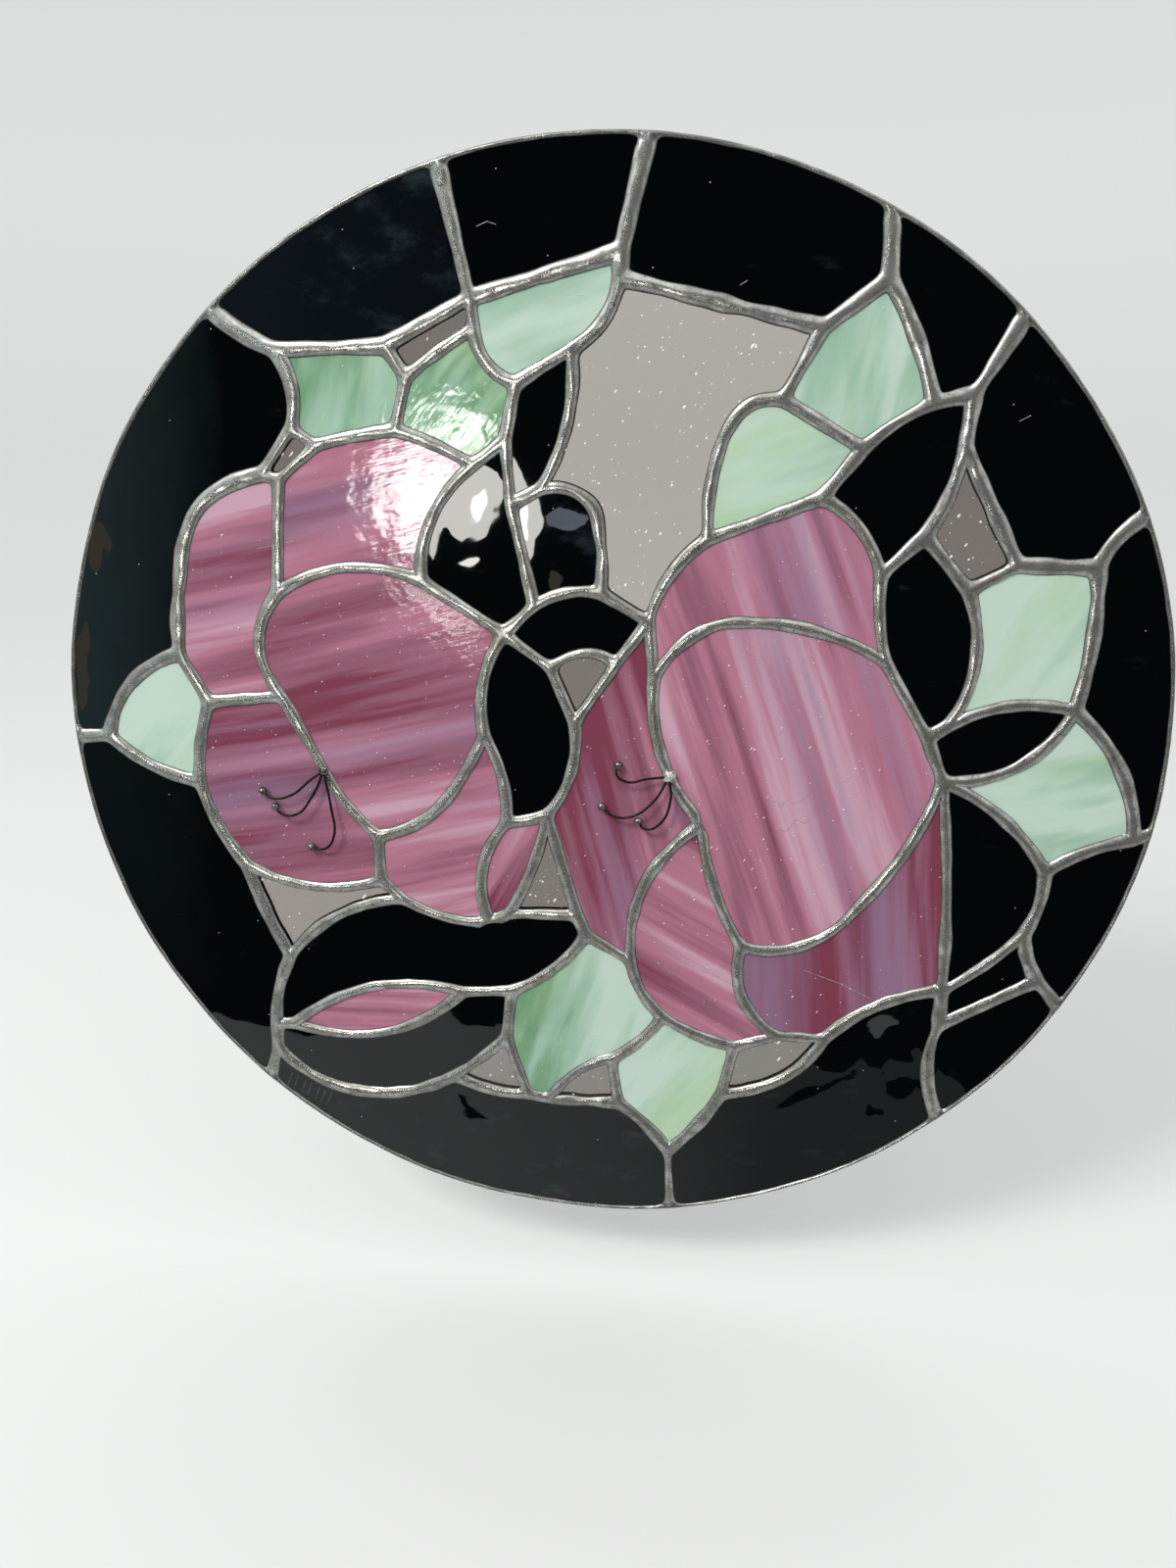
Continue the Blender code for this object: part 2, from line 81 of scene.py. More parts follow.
# Sizes that the solids give
NET_LOW, NET_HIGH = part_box("solder_net")
PANEL_RADIUS = (NET_HIGH.x - NET_LOW.x) / 2
PANEL_MIDDLE = Vector((0, 0, (NET_LOW.z + NET_HIGH.z) / 2))
GLASS_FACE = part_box("clear_top")[1].y
BEAD_HEIGHT = NET_HIGH.y - GLASS_FACE

# How the solids are read
SAME_PLACE = 1e-5
CREST_CLEAR = 0.0005

# The photograph: its middle and lens in pixels, the eye's place from the middle
# of the glass's front face in panel radii (right, back, up), and its turn
PHOTO_SIZE = (1200, 1600)
LENS_PIXELS = 1200
SENSOR = 36.0
EYE = (0.217, -2.050, 0.584)
LOOK_LEFT = math.radians(6.43)
LOOK_DOWN = math.radians(17.74)

# Each stamen's wire by pixels, from its foot on the solder to its ball
STAMENS = {
    "left_stamens": (
        ((330, 787), (318, 795), (296, 812), (277, 814), (268, 807)),
        ((330, 787), (319, 812), (300, 832), (284, 828), (281, 823)),
        ((330, 787), (338, 825), (341, 852), (332, 866), (318, 864)),
    ),
    "right_stamens": (
        ((683, 793), (660, 795), (640, 798), (629, 790), (631, 781)),
        ((683, 793), (665, 820), (642, 834), (624, 832), (614, 823)),
        ((683, 793), (684, 818), (672, 842), (658, 846), (651, 838)),
    ),
}
# Straight stretches that make up the bend between two of a wire's places
BEND_STRETCHES = 8


def screen_colour(red, green, blue):
    """A colour as a screen shows it, 0 to 255, in Blender's linear values."""
    shown = Color((red / 255, green / 255, blue / 255))
    return tuple(shown.from_srgb_to_scene_linear())


# Places on the panel

def to_eye():
    return PANEL_MIDDLE + Vector((0, -GLASS_FACE, 0)) + Vector(EYE) * PANEL_RADIUS


def sight(pixel):
    """The direction of the line of sight through a pixel of the photograph."""
    forward = Vector((
        -math.sin(LOOK_LEFT) * math.cos(LOOK_DOWN),
        math.cos(LOOK_LEFT) * math.cos(LOOK_DOWN),
        -math.sin(LOOK_DOWN),
    ))
    right = Vector((math.cos(LOOK_LEFT), math.sin(LOOK_LEFT), 0))
    up = right.cross(forward)
    across = (pixel[0] - PHOTO_SIZE[0] / 2) / LENS_PIXELS
    down = (pixel[1] - PHOTO_SIZE[1] / 2) / LENS_PIXELS
    return (forward + across * right - down * up).normalized()


def at_pixel(pixel, depth=None):
    """Where a pixel's line of sight meets the glass, or a plane at a depth behind the middle."""
    depth = -GLASS_FACE if depth is None else depth
    ray = sight(pixel)
    return to_eye() + ray * ((depth - to_eye().y) / ray.y)


def flat(place):
    """A place as across and up from the panel's middle."""
    return np.array((place.x - PANEL_MIDDLE.x, place.z - PANEL_MIDDLE.z))


# Settings

class SolderSettings(bpy.types.PropertyGroup):
    """Sizes and colours of the solder."""

    step: bpy.props.FloatProperty(
        name="Step", description="Length of one stretch of a bead's mesh",
        default=0.0019, min=0.001, unit="LENGTH")
    swell: bpy.props.FloatProperty(
        name="Swell", description="How much wider and higher a bead is where seams meet",
        default=0.20, subtype="FACTOR")
    swell_reach: bpy.props.FloatProperty(
        name="Swell reach", description="How far from a joint the swelling dies out",
        default=0.0035, unit="LENGTH")
    spoke_taper: bpy.props.FloatProperty(
        name="Spoke taper", description="How much a border seam widens towards the rim",
        default=0.22, subtype="FACTOR")
    uneven_width: bpy.props.FloatProperty(
        name="Uneven width", description="Share by which a bead's width wanders",
        default=0.42, subtype="FACTOR")
    sway: bpy.props.FloatProperty(
        name="Sway", description="How far a bead's crest wanders to either side",
        default=0.0007, unit="LENGTH")
    rim_wander: bpy.props.FloatProperty(
        name="Rim wander", description="How far the hand-shaped rim wanders inwards",
        default=0.0008, unit="LENGTH")
    lump_size: bpy.props.FloatProperty(
        name="Lump size", description="Size of the lumps in the solder",
        default=0.0046, unit="LENGTH")
    lump_height: bpy.props.FloatProperty(
        name="Lump height", description="Height of the lumps in the solder",
        default=0.00050, unit="LENGTH")
    colour: bpy.props.FloatVectorProperty(
        name="Solder", description="Colour of the bright solder",
        default=screen_colour(214, 213, 207), subtype="COLOR")
    dull: bpy.props.FloatVectorProperty(
        name="Dull solder", description="Colour of the dulled solder",
        default=screen_colour(150, 148, 142), subtype="COLOR")
    foil: bpy.props.FloatVectorProperty(
        name="Foil", description="Colour of the copper foil's glued side",
        default=screen_colour(120, 92, 48), subtype="COLOR")


class GlassSettings(bpy.types.PropertyGroup):
    """Sizes and colours of the glass."""

    step: bpy.props.FloatProperty(
        name="Step", description="Distance between the points of a sheet's mesh",
        default=0.0036, min=0.002, unit="LENGTH")
    wave_size: bpy.props.FloatProperty(
        name="Wave size", description="Length of the waves in the rolled sheet",
        default=0.022, unit="LENGTH")
    wave_height: bpy.props.FloatProperty(
        name="Wave height", description="Height of the waves in the rolled sheet",
        default=0.00007, unit="LENGTH")
    crimson: bpy.props.FloatVectorProperty(
        name="Crimson", description="Darkest streaks of the pink glass",
        default=screen_colour(130, 64, 84), subtype="COLOR")
    pink: bpy.props.FloatVectorProperty(
        name="Pink", description="Body of the pink glass",
        default=screen_colour(152, 98, 117), subtype="COLOR")
    bright_pink: bpy.props.FloatVectorProperty(
        name="Bright pink", description="Brighter body of the pink glass",
        default=screen_colour(184, 121, 142), subtype="COLOR")
    rose: bpy.props.FloatVectorProperty(
        name="Rose", description="Light streaks of the pink glass",
        default=screen_colour(208, 166, 182), subtype="COLOR")
    mauve: bpy.props.FloatVectorProperty(
        name="Mauve", description="Bluish streaks of the pink glass",
        default=screen_colour(150, 122, 150), subtype="COLOR")
    white_green: bpy.props.FloatVectorProperty(
        name="White green", description="Palest streaks of the green glass",
        default=screen_colour(200, 221, 206), subtype="COLOR")
    pale_green: bpy.props.FloatVectorProperty(
        name="Pale green", description="Body of the green glass",
        default=screen_colour(160, 194, 170), subtype="COLOR")
    leaf_green: bpy.props.FloatVectorProperty(
        name="Leaf green", description="Strong streaks of the green glass",
        default=screen_colour(116, 160, 122), subtype="COLOR")
    yellow_green: bpy.props.FloatVectorProperty(
        name="Yellow green", description="Warm veil in the green glass",
        default=screen_colour(178, 208, 164), subtype="COLOR")
    black: bpy.props.FloatVectorProperty(
        name="Black", description="Body of the black glass",
        default=(0.0012, 0.0018, 0.0022), subtype="COLOR")
    clear: bpy.props.FloatVectorProperty(
        name="Clear", description="Tint of the clear glass",
        default=(0.62, 0.58, 0.54), subtype="COLOR")
    # The shaded and darkest shaded tints are painted shade: they darken small clear panes as if shade
    # lay behind them
    shaded_clear: bpy.props.FloatVectorProperty(
        name="Shaded clear", description="Tint of the small clear pieces at the bottom",
        default=(0.40, 0.37, 0.34), subtype="COLOR")
    darkest_shaded_clear: bpy.props.FloatVectorProperty(
        name="Darkest shaded clear", description="Tint of the darkest small clear pieces",
        default=(0.27, 0.24, 0.22), subtype="COLOR")
    seeds_per_area: bpy.props.FloatProperty(
        name="Seeds", description="Air bubbles in a square metre of clear glass",
        default=52000.0)
    stroke: bpy.props.FloatProperty(
        name="Stroke", description="Width of the engraved strokes",
        default=0.0006, unit="LENGTH")
    scratch: bpy.props.FloatProperty(
        name="Scratch", description="Width of the light scratches",
        default=0.00022, unit="LENGTH")
    mark_lift: bpy.props.FloatProperty(
        name="Mark lift", description="How far a mark's rough edge stands on the glass",
        default=0.00006, unit="LENGTH")
    specks_per_area: bpy.props.FloatProperty(
        name="Specks", description="Bright specks on a square metre of streaky glass",
        default=24000.0)
    seed_size: bpy.props.FloatProperty(
        name="Seed size", description="Diameter of a large air bubble",
        default=0.0008, unit="LENGTH")


class StamenSettings(bpy.types.PropertyGroup):
    """Sizes and colours of the stamens."""

    wire: bpy.props.FloatProperty(
        name="Wire", description="Diameter of the wire",
        default=0.0009, unit="LENGTH")
    ball: bpy.props.FloatProperty(
        name="Ball", description="Diameter of the balls of solder",
        default=0.0030, unit="LENGTH")
    lift: bpy.props.FloatProperty(
        name="Lift", description="How far a wire arches out between its ends",
        default=0.0014, unit="LENGTH")
    foot: bpy.props.FloatProperty(
        name="Foot", description="Width of the drop of solder at the wires' foot",
        default=0.0043, unit="LENGTH")
    gap: bpy.props.FloatProperty(
        name="Gap", description="Clearance over the solder and the glass",
        default=0.0003, unit="LENGTH")
    colour: bpy.props.FloatVectorProperty(
        name="Wire colour", description="Colour of the dark wire",
        default=screen_colour(50, 42, 40), subtype="COLOR")


class StageSettings(bpy.types.PropertyGroup):
    """The studio round the panel."""

    floor_drop: bpy.props.FloatProperty(
        name="Floor drop", description="How far the floor lies below the panel",
        default=0.035, unit="LENGTH")
    reach: bpy.props.FloatProperty(
        name="Reach", description="Radius of the round studio",
        default=3.0, unit="LENGTH")
    colour: bpy.props.FloatVectorProperty(
        name="Studio colour", description="Colour of the floor and backdrop",
        default=(0.88, 0.88, 0.87), subtype="COLOR")
    sky: bpy.props.FloatProperty(
        name="Sky", description="Brightness of the soft light all round",
        default=1.0)
    tint: bpy.props.FloatVectorProperty(
        name="Tint", description="Colour of the soft light all round",
        default=(0.97, 1.0, 1.0), subtype="COLOR")
    key_power: bpy.props.FloatProperty(
        name="Key power", description="Power of the soft light at the upper left",
        default=20.0, unit="POWER")
    glare: bpy.props.FloatProperty(
        name="Glare", description="Brightness of the bright sky that the glass mirrors",
        default=17.0)


# The solder's shape

# The rim: how far its crest is in from the edge, its height as a share of a bead's, and
# its rounded side as (in from the edge, share of the crest's height)
RIM_ROUND = 0.0008
RIM_HEIGHT_SHARE = 2 / 3
RIM_SIDE = ((0.00042, 0.93), (0.00018, 0.74), (0.00012, 0.40))
# The rim's side is as bright as a bead at this share of its width, and less lumpy
RIM_SIDE_SHARE = 0.3
RIM_SIDE_LUMPS = 0.25
# The thinly tinned rim is at least as dull as a bead at this share of its width
RIM_DULLNESS = 0.88
# A seam runs out to the rim if its end is past this share of the panel's radius
RIM_REACHED = 0.985
# Depth in the glass at which a bead's edge ends, so that no gap shows
BEAD_SINK = 0.00008
# Distances from a seam's middle line to the copper foil's wall and the glass
FOIL_WALL = 0.0004
GLASS_EDGE = 0.0008
RIM_FOIL_WALL = 0.00012
RIM_GLASS_EDGE = 0.0004
# In how many stages a window's loops grow in to the foil, the glass and the bead's edge
FOIL_STAGES = 3
GLASS_STAGES = 2
BEAD_STAGES = 6
# Beads are narrower round a window less wide than this, down to this share
ROOMY_WINDOW = 0.021
TIGHT_BEAD = 0.62
# A bead's cross-section: shares of its half width, and how full it is
FRONT_RINGS = (0.2, 0.4, 0.58, 0.74, 0.88, 1.0)
BACK_RINGS = (0.35, 0.7, 1.0)
FULLNESS = 0.62
# The back's beads are flatter than the front's
BACK_FLATNESS = 0.85
# A bead's height away from joints: its least share and how much more noise adds
PLAIN_HEIGHT = 0.93
UNEVEN_HEIGHT = 0.12
# How much of a bead's uneven width is broad and how much is fine
BROAD_PART = 0.7
FINE_PART = 0.3
# The noise that makes the solder uneven, each as its size and its seed
RIM_NOISE = (0.05, 3.1)
BROAD_NOISE = (0.009, 7.3)
FINE_NOISE = (0.004, 2.2)
HEIGHT_NOISE = (0.009, 1.7)
SIDEWAYS_NOISE = (0.008, 4.4)
UPWARDS_NOISE = (0.008, 9.9)
# Stretches of the curve between two corners of a seam
CURVE_STRETCHES = 12
# Angles over which an edge of the solder and of the glass stays sharp
SHARP_SOLDER = 60
SHARP_GLASS = 40


# Reading the seams

@dataclass
class Seam:
    """A seam between two joints: its corners, half its width and its dense line."""

    corners: list
    half_width: float
    on_rim: bool
    line: np.ndarray = None
    ids: list = None


def read_seams():
    """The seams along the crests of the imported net's front."""
    crest_plane = -GLASS_FACE - CREST_CLEAR
    shape = bmesh.new()
    shape.from_mesh(frame["nodes"]["solder_net"].data)
    bmesh.ops.remove_doubles(shape, verts=shape.verts, dist=SAME_PLACE)
    shape.verts.index_update()
    places = {}
    beside = {}
    widths = {}
    for edge in shape.edges:
        if max(v.co.y for v in edge.verts) > crest_plane:
            continue
        a, b = (Vector(flat(v.co)) for v in edge.verts)
        along = (b - a).normalized()
        half_width = 0.0
        for face in edge.link_faces:
            for vertex in face.verts:
                half_width = max(half_width, abs((Vector(flat(vertex.co)) - a).cross(along)))
        first, last = (v.index for v in edge.verts)
        places[first], places[last] = a, b
        beside.setdefault(first, []).append(last)
        beside.setdefault(last, []).append(first)
        widths[first, last] = widths[last, first] = half_width
    shape.free()
    seams = []
    walked = set()
    for joint, others in beside.items():
        if len(others) == 2:
            continue
        for other in others:
            if (joint, other) in walked:
                continue
            chain = [joint, other]
            while len(beside[chain[-1]]) == 2:
                chain.append(next(k for k in beside[chain[-1]] if k != chain[-2]))
            walked.add((chain[0], chain[1]))
            walked.add((chain[-1], chain[-2]))
            half_width = float(np.median([widths[pair] for pair in zip(chain, chain[1:])]))
            on_rim = all(places[k].length > PANEL_RADIUS - CREST_CLEAR for k in chain)
            seams.append(Seam(chain, half_width, on_rim))
    return places, seams


def smooth_line(points, step):
    """Evenly spaced points on a smooth curve through the given ones."""
    dense = [points[0]]
    if len(points) == 2:
        dense.append(points[1])
    else:
        spans = [(b - a).length for a, b in zip(points, points[1:])]
        slopes = [(b - a) / span for a, b, span in zip(points, points[1:], spans)]
        tangents = [
            (slopes[i] * spans[i - 1] + slopes[i - 1] * spans[i]) / (spans[i - 1] + spans[i])
            for i in range(1, len(spans))
        ]
        tangents.insert(0, 2 * slopes[0] - tangents[0])
        tangents.append(2 * slopes[-1] - tangents[-1])
        for i, span in enumerate(spans):
            start, end = points[i], points[i + 1]
            handles = start + tangents[i] * span / 3, end - tangents[i + 1] * span / 3
            curve = interpolate_bezier(start, *handles, end, CURVE_STRETCHES)
            dense += [p.to_2d() for p in curve[1:]]
    dense = np.array([tuple(p) for p in dense])
    lengths = np.concatenate(([0], np.cumsum(np.linalg.norm(np.diff(dense, axis=0), axis=1))))
    count = max(2, round(lengths[-1] / step))
    spaced = np.linspace(0, lengths[-1], count + 1)
    return np.stack([np.interp(spaced, lengths, dense[:, k]) for k in (0, 1)], axis=1)


def wander(point, size, seed):
    """Smooth noise about zero at a point of the panel."""
    return noise.noise(Vector((point[0] / size, point[1] / size, seed)))


def rim_line_radius(point, settings):
    """The radius of the rim's crest in the direction of a point."""
    toward = Vector(point).normalized() * PANEL_RADIUS
    dip = settings.rim_wander * (0.5 + wander(toward, *RIM_NOISE))
    return PANEL_RADIUS - RIM_ROUND - max(dip, 0.0)


def lay_lines(places, seams, settings):
    """Gives each seam a dense line and returns all points, half widths and heights."""
    points, half_widths, heights = [], [], []
    rim_height = RIM_HEIGHT_SHARE * BEAD_HEIGHT
    joints = {}
    for seam in seams:
        for end in (seam.corners[0], seam.corners[-1]):
            if end in joints:
                continue
            meeting = [s for s in seams if end in (s.corners[0], s.corners[-1])]
            place = places[end]
            if any(s.on_rim for s in meeting):
                place = place.normalized() * rim_line_radius(place, settings)
                height = (rim_height + BEAD_HEIGHT) / 2
            else:
                height = BEAD_HEIGHT
            joints[end] = len(points)
            points.append(tuple(place))
            half_widths.append(min(s.half_width for s in meeting))
            heights.append(height)
    for seam in seams:
        first, last = joints[seam.corners[0]], joints[seam.corners[-1]]
        route = [Vector(points[first]), *(places[k] for k in seam.corners[1:-1]), Vector(points[last])]
        line = smooth_line(route, settings.step)
        if seam.on_rim:
            line = np.array([
                tuple(Vector(p).normalized() * rim_line_radius(p, settings)) for p in line
            ])
        to_first = np.linalg.norm(line - line[0], axis=1)
        to_last = np.linalg.norm(line - line[-1], axis=1)
        own_width = seam.half_width - (RIM_ROUND if seam.on_rim else 0.0)
        own_height = rim_height if seam.on_rim else BEAD_HEIGHT
        ends_on_rim = [np.hypot(*line[k]) > PANEL_RADIUS * RIM_REACHED for k in (0, -1)]
        seam.line = line
        seam.ids = [first]
        for k in range(1, len(line) - 1):
            near_first = math.exp(-to_first[k] / settings.swell_reach)
            near_last = math.exp(-to_last[k] / settings.swell_reach)
            near = near_first + near_last
            width = own_width * (1 + settings.swell * near)
            uneven = BROAD_PART * wander(line[k], *BROAD_NOISE)
            uneven += FINE_PART * wander(line[k], *FINE_NOISE)
            width *= 1 + settings.uneven_width * uneven
            if not seam.on_rim and any(ends_on_rim):
                share = k / (len(line) - 1)
                outward = share if ends_on_rim[1] else 1 - share
                width *= 1 + settings.spoke_taper * (2 * outward - 1)
            height = own_height
            height += (heights[first] - own_height) * near_first
            height += (heights[last] - own_height) * near_last
            height *= PLAIN_HEIGHT + UNEVEN_HEIGHT * wander(line[k], *HEIGHT_NOISE)
            seam.ids.append(len(points))
            points.append(tuple(line[k]))
            half_widths.append(width)
            heights.append(height)
        seam.ids.append(last)
    return np.array(points), np.array(half_widths), np.array(heights)


def trace_cells(places, seams):
    """The seams round each window as loops of point numbers, anticlockwise."""
    def heading(chain):
        step = places[chain[1]] - places[chain[0]]
        return math.atan2(step.y, step.x)

    leaving = {}
    for number, seam in enumerate(seams):
        leaving.setdefault(seam.corners[0], []).append((number, False, heading(seam.corners)))
        back = seam.corners[::-1]
        leaving.setdefault(back[0], []).append((number, True, heading(back)))
    unused = {(number, turned) for number in range(len(seams)) for turned in (False, True)}
    cells = []
    while unused:
        start = step = min(unused)
        loop, around = [], []
        while True:
            unused.discard(step)
            number, turned = step
            seam = seams[number]
            ids = seam.ids[::-1] if turned else seam.ids
            loop += ids[:-1]
            around += [seam.on_rim] * (len(ids) - 1)
            joint = seam.corners[0] if turned else seam.corners[-1]
            back = next(h for n, t, h in leaving[joint] if (n, t) == (number, not turned))
            step = min(
                ((n, t, h) for n, t, h in leaving[joint] if (n, t) != (number, not turned)),
                key=lambda way: (back - way[2]) % math.tau,
            )[:2]
            if step == start:
                break
        cells.append((loop, np.array(around)))
    return cells


def area_of(loop):
    """The area in a loop, below zero if it runs clockwise."""
    after = np.roll(loop, -1, axis=0)
    return (loop[:, 0] * after[:, 1] - loop[:, 1] * after[:, 0]).sum() / 2


def pushed(loop, middle, distances):
    """The loop with each point moved to its distance from the nearest seam's middle line."""
    step = np.roll(middle, -1, axis=0) - middle
    reach = loop[:, None] - middle[None]
    share = np.clip((reach * step).sum(-1) / (step**2).sum(-1), 0, 1)
    gap = reach - share[..., None] * step
    away = np.linalg.norm(gap, axis=-1)
    nearest = away.argmin(axis=1)
    rows = np.arange(len(loop))
    gap, away, share = gap[rows, nearest], away[rows, nearest], share[rows, nearest]
    wanted = distances[nearest] * (1 - share) + np.roll(distances, -1)[nearest] * share
    short = away < wanted
    moved = loop.copy()
    moved[short] += gap[short] * (wanted[short] / away[short] - 1)[:, None]
    return moved


def smoothed(loop):
    """The loop with each point moved half way to the middle of its neighbours."""
    neighbours = (np.roll(loop, 1, axis=0) + np.roll(loop, -1, axis=0)) / 2
    return loop + (neighbours - loop) * 0.5


def spread(loop, middle, start, end, stages):
    """The loop grown in from one distance to another, with its corners rounded."""
    for k in range(1, stages + 1):
        distances = start + (end - start) * k / stages
        for _ in range(2):
            loop = pushed(loop, middle, distances)
        loop = smoothed(loop)
    return pushed(loop, middle, end)


@dataclass
class Window:
    """One opening of the net: loops of the middle line, foil wall, glass and bead edge."""

    ids: list
    middle: np.ndarray
    wall: np.ndarray
    glass: np.ndarray
    edge: np.ndarray


def open_windows(points, half_widths, cells):
    """The net's windows, from their rings of points."""
    windows = []
    for ids, on_rim in cells:
        middle = points[ids]
        if area_of(middle) < 0:
            continue
        along = np.roll(middle, -1, axis=0) - np.roll(middle, 1, axis=0)
        along /= np.linalg.norm(along, axis=1)[:, None]
        inward = np.stack((-along[:, 1], along[:, 0]), axis=1)
        start = np.full(len(ids), SAME_PLACE * 5)
        wall = np.where(on_rim, RIM_FOIL_WALL, FOIL_WALL)
        glass = np.where(on_rim, RIM_GLASS_EDGE, GLASS_EDGE)
        begun = middle + inward * start[:, None]
        wall_loop = spread(begun, middle, start, wall, FOIL_STAGES)
        glass_loop = spread(wall_loop, middle, wall, glass, GLASS_STAGES)
        roomy = min(1.0, max(TIGHT_BEAD, math.sqrt(area_of(middle)) / ROOMY_WINDOW))
        bead = half_widths[ids] * roomy
        edge_loop = spread(glass_loop, middle, glass, bead, BEAD_STAGES)
        windows.append(Window(ids, middle, wall_loop, glass_loop, smoothed(edge_loop)))
    return windows


def in_space(point, depth):
    """A place across and up from the panel's middle, at a depth."""
    return (PANEL_MIDDLE.x + point[0], depth, PANEL_MIDDLE.z + point[1])


PATTERN = {}


def pattern(settings):
    """The net's points and windows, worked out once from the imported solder."""
    if not PATTERN:
        places, seams = read_seams()
        points, half_widths, heights = lay_lines(places, seams, settings)
        PATTERN["points"] = points
        PATTERN["heights"] = heights
        PATTERN["seams"] = seams
        PATTERN["windows"] = open_windows(points, half_widths, trace_cells(places, seams))
    return PATTERN


# Node trees

def add_node(tree, kind, inputs=None, **settings):
    """A node with its settings, and each input set to a value or linked to a socket."""
    made = tree.nodes.new(kind)
    for name, value in settings.items():
        setattr(made, name, value)
    for name, value in (inputs or {}).items():
        if isinstance(value, bpy.types.NodeSocket):
            tree.links.new(value, made.inputs[name])
        else:
            made.inputs[name].default_value = value
    return made


def math_node(tree, operation, first, second=None, clamp=False):
    inputs = {0: first}
    if second is not None:
        inputs[1] = second
    return add_node(tree, "ShaderNodeMath", inputs, operation=operation, use_clamp=clamp).outputs[0]


def plus(tree, first, second):
    return math_node(tree, "ADD", first, second)


def times(tree, first, second):
    return math_node(tree, "MULTIPLY", first, second)


def attribute(tree, name):
    """A level that the mesh holds under a name."""
    return add_node(tree, "ShaderNodeAttribute", attribute_name=name).outputs["Fac"]


def mix_colours(tree, share, first, second, blend="MIX"):
    """The colour between two others, each a socket or a colour."""
    made = add_node(tree, "ShaderNodeMix", {0: share}, data_type="RGBA", blend_type=blend)
    for place, value in ((6, first), (7, second)):
        if isinstance(value, bpy.types.NodeSocket):
            tree.links.new(value, made.inputs[place])
        else:
            made.inputs[place].default_value = (*value[:3], 1)
    return made.outputs[2]


def colour_ramp(tree, share, stops, interpolation="EASE"):
    """A colour or level for each share: stops are pairs of a place and a colour or level."""
    ramp = add_node(tree, "ShaderNodeValToRGB", {0: share})
    ramp.color_ramp.interpolation = interpolation
    elements = ramp.color_ramp.elements
    while len(elements) < len(stops):
        elements.new(0.5)
    for element, (place, value) in zip(elements, stops):
        element.position = place
        element.color = (*value[:3], 1) if hasattr(value, "__len__") else (value, value, value, 1)
    return ramp.outputs[0]


def coordinates(tree, scale=(1, 1, 1), turn=0.0, place=(0, 0, 0), source="Object"):
    """Object coordinates or the sheet's own, turned in the panel's plane and scaled."""
    if source == "Object":
        start = add_node(tree, "ShaderNodeTexCoord").outputs["Object"]
        rotation = (0, math.radians(turn), 0)
    else:
        start = add_node(tree, "ShaderNodeUVMap", uv_map=source).outputs[0]
        rotation = (0, 0, 0)
    return add_node(tree, "ShaderNodeMapping", {
        "Vector": start, "Location": place, "Rotation": rotation, "Scale": scale,
    }).outputs[0]


def noise_node(tree, vector, scale, detail=2.0, roughness=0.5, distortion=0.0):
    """Noise with a number of waves per metre."""
    return add_node(tree, "ShaderNodeTexNoise", {
        "Vector": vector, "Scale": scale, "Detail": detail,
        "Roughness": roughness, "Distortion": distortion,
    }).outputs[0]


def new_material(name, **values):
    """A material and its shader, with plain values set on the shader's own sockets."""
    material = bpy.data.materials.new(name)
    material.use_nodes = True
    shader = material.node_tree.nodes["Principled BSDF"]
    for socket, value in values.items():
        shader.inputs[socket.replace("_", " ")].default_value = value
    return material, material.node_tree, shader


def add_bump(tree, shader, height, strength, distance):
    bump = add_node(tree, "ShaderNodeBump", {
        "Height": height, "Strength": strength, "Distance": distance,
    })
    tree.links.new(bump.outputs[0], shader.inputs["Normal"])


def specks(tree, spacing, size, share):
    """White where a speck of dust lies on the sheet: one in each spacing, for a share of them."""
    vector = coordinates(tree, (1 / spacing, 1 / spacing, 1), source="sheet")
    dots = add_node(tree, "ShaderNodeTexVoronoi", {"Vector": vector, "Scale": 1.0},
                    voronoi_dimensions="2D")
    near = math_node(tree, "LESS_THAN", dots.outputs["Distance"], size / spacing)
    kept = add_node(tree, "ShaderNodeSeparateColor", {"Color": dots.outputs["Color"]})
    return times(tree, near, math_node(tree, "LESS_THAN", kept.outputs[0], share))


# Colours of small things, and how strongly coloured glass bends light
# The foil's dark creases are painted shade of crumples that the flat foil does not have
FOIL_CREASE_SHADE = screen_colour(70, 60, 42)
WIRE_SHADE = screen_colour(26, 22, 21)
BALL_SHADE = screen_colour(84, 82, 79)
BRIGHT_SOLDER = screen_colour(240, 242, 238)
SMUDGE = (0.020, 0.030, 0.038)
DUST = (0.35, 0.36, 0.36)
GLASS_IOR = 1.52


# Materials: noise scales are in waves per metre, and bump depths in metres

def solder_material(settings):
    """Solder that is half bright and half dull, spotted with tarnish, and darker at its edges with
    patina and painted shade where it meets the glass.
    """
    material, tree, shader = new_material("hand_run_solder", Metallic=0.8)
    place = coordinates(tree)
    clouds = noise_node(tree, place, 160, detail=4, roughness=0.6)
    grain = noise_node(tree, place, 1500, detail=3, roughness=0.6)
    dullness = plus(tree, times(tree, clouds, 0.9), times(tree, grain, 0.45))
    body = colour_ramp(tree, dullness, ((0.42, settings.colour), (0.86, settings.dull)))
    # Darker towards the bead's edges: partly patina, partly painted shade where the bead meets the
    # glass
    edge = colour_ramp(tree, attribute(tree, "across"), ((0.76, 1.0), (1.0, 0.26)))
    body = mix_colours(tree, 1.0, body, edge, "MULTIPLY")
    spots = noise_node(tree, place, 520, detail=3, roughness=0.7)
    tarnish = colour_ramp(tree, spots, ((0.55, 1.0), (0.72, 0.56)))
    body = mix_colours(tree, 1.0, body, tarnish, "MULTIPLY")
    tree.links.new(body, shader.inputs["Base Color"])
    rough = colour_ramp(tree, dullness, ((0.40, 0.18), (0.95, 0.38)))
    tree.links.new(rough, shader.inputs["Roughness"])
    pits = noise_node(tree, place, 230, detail=2, roughness=0.4)
    add_bump(tree, shader, pits, 0.16, 0.0004)
    return material


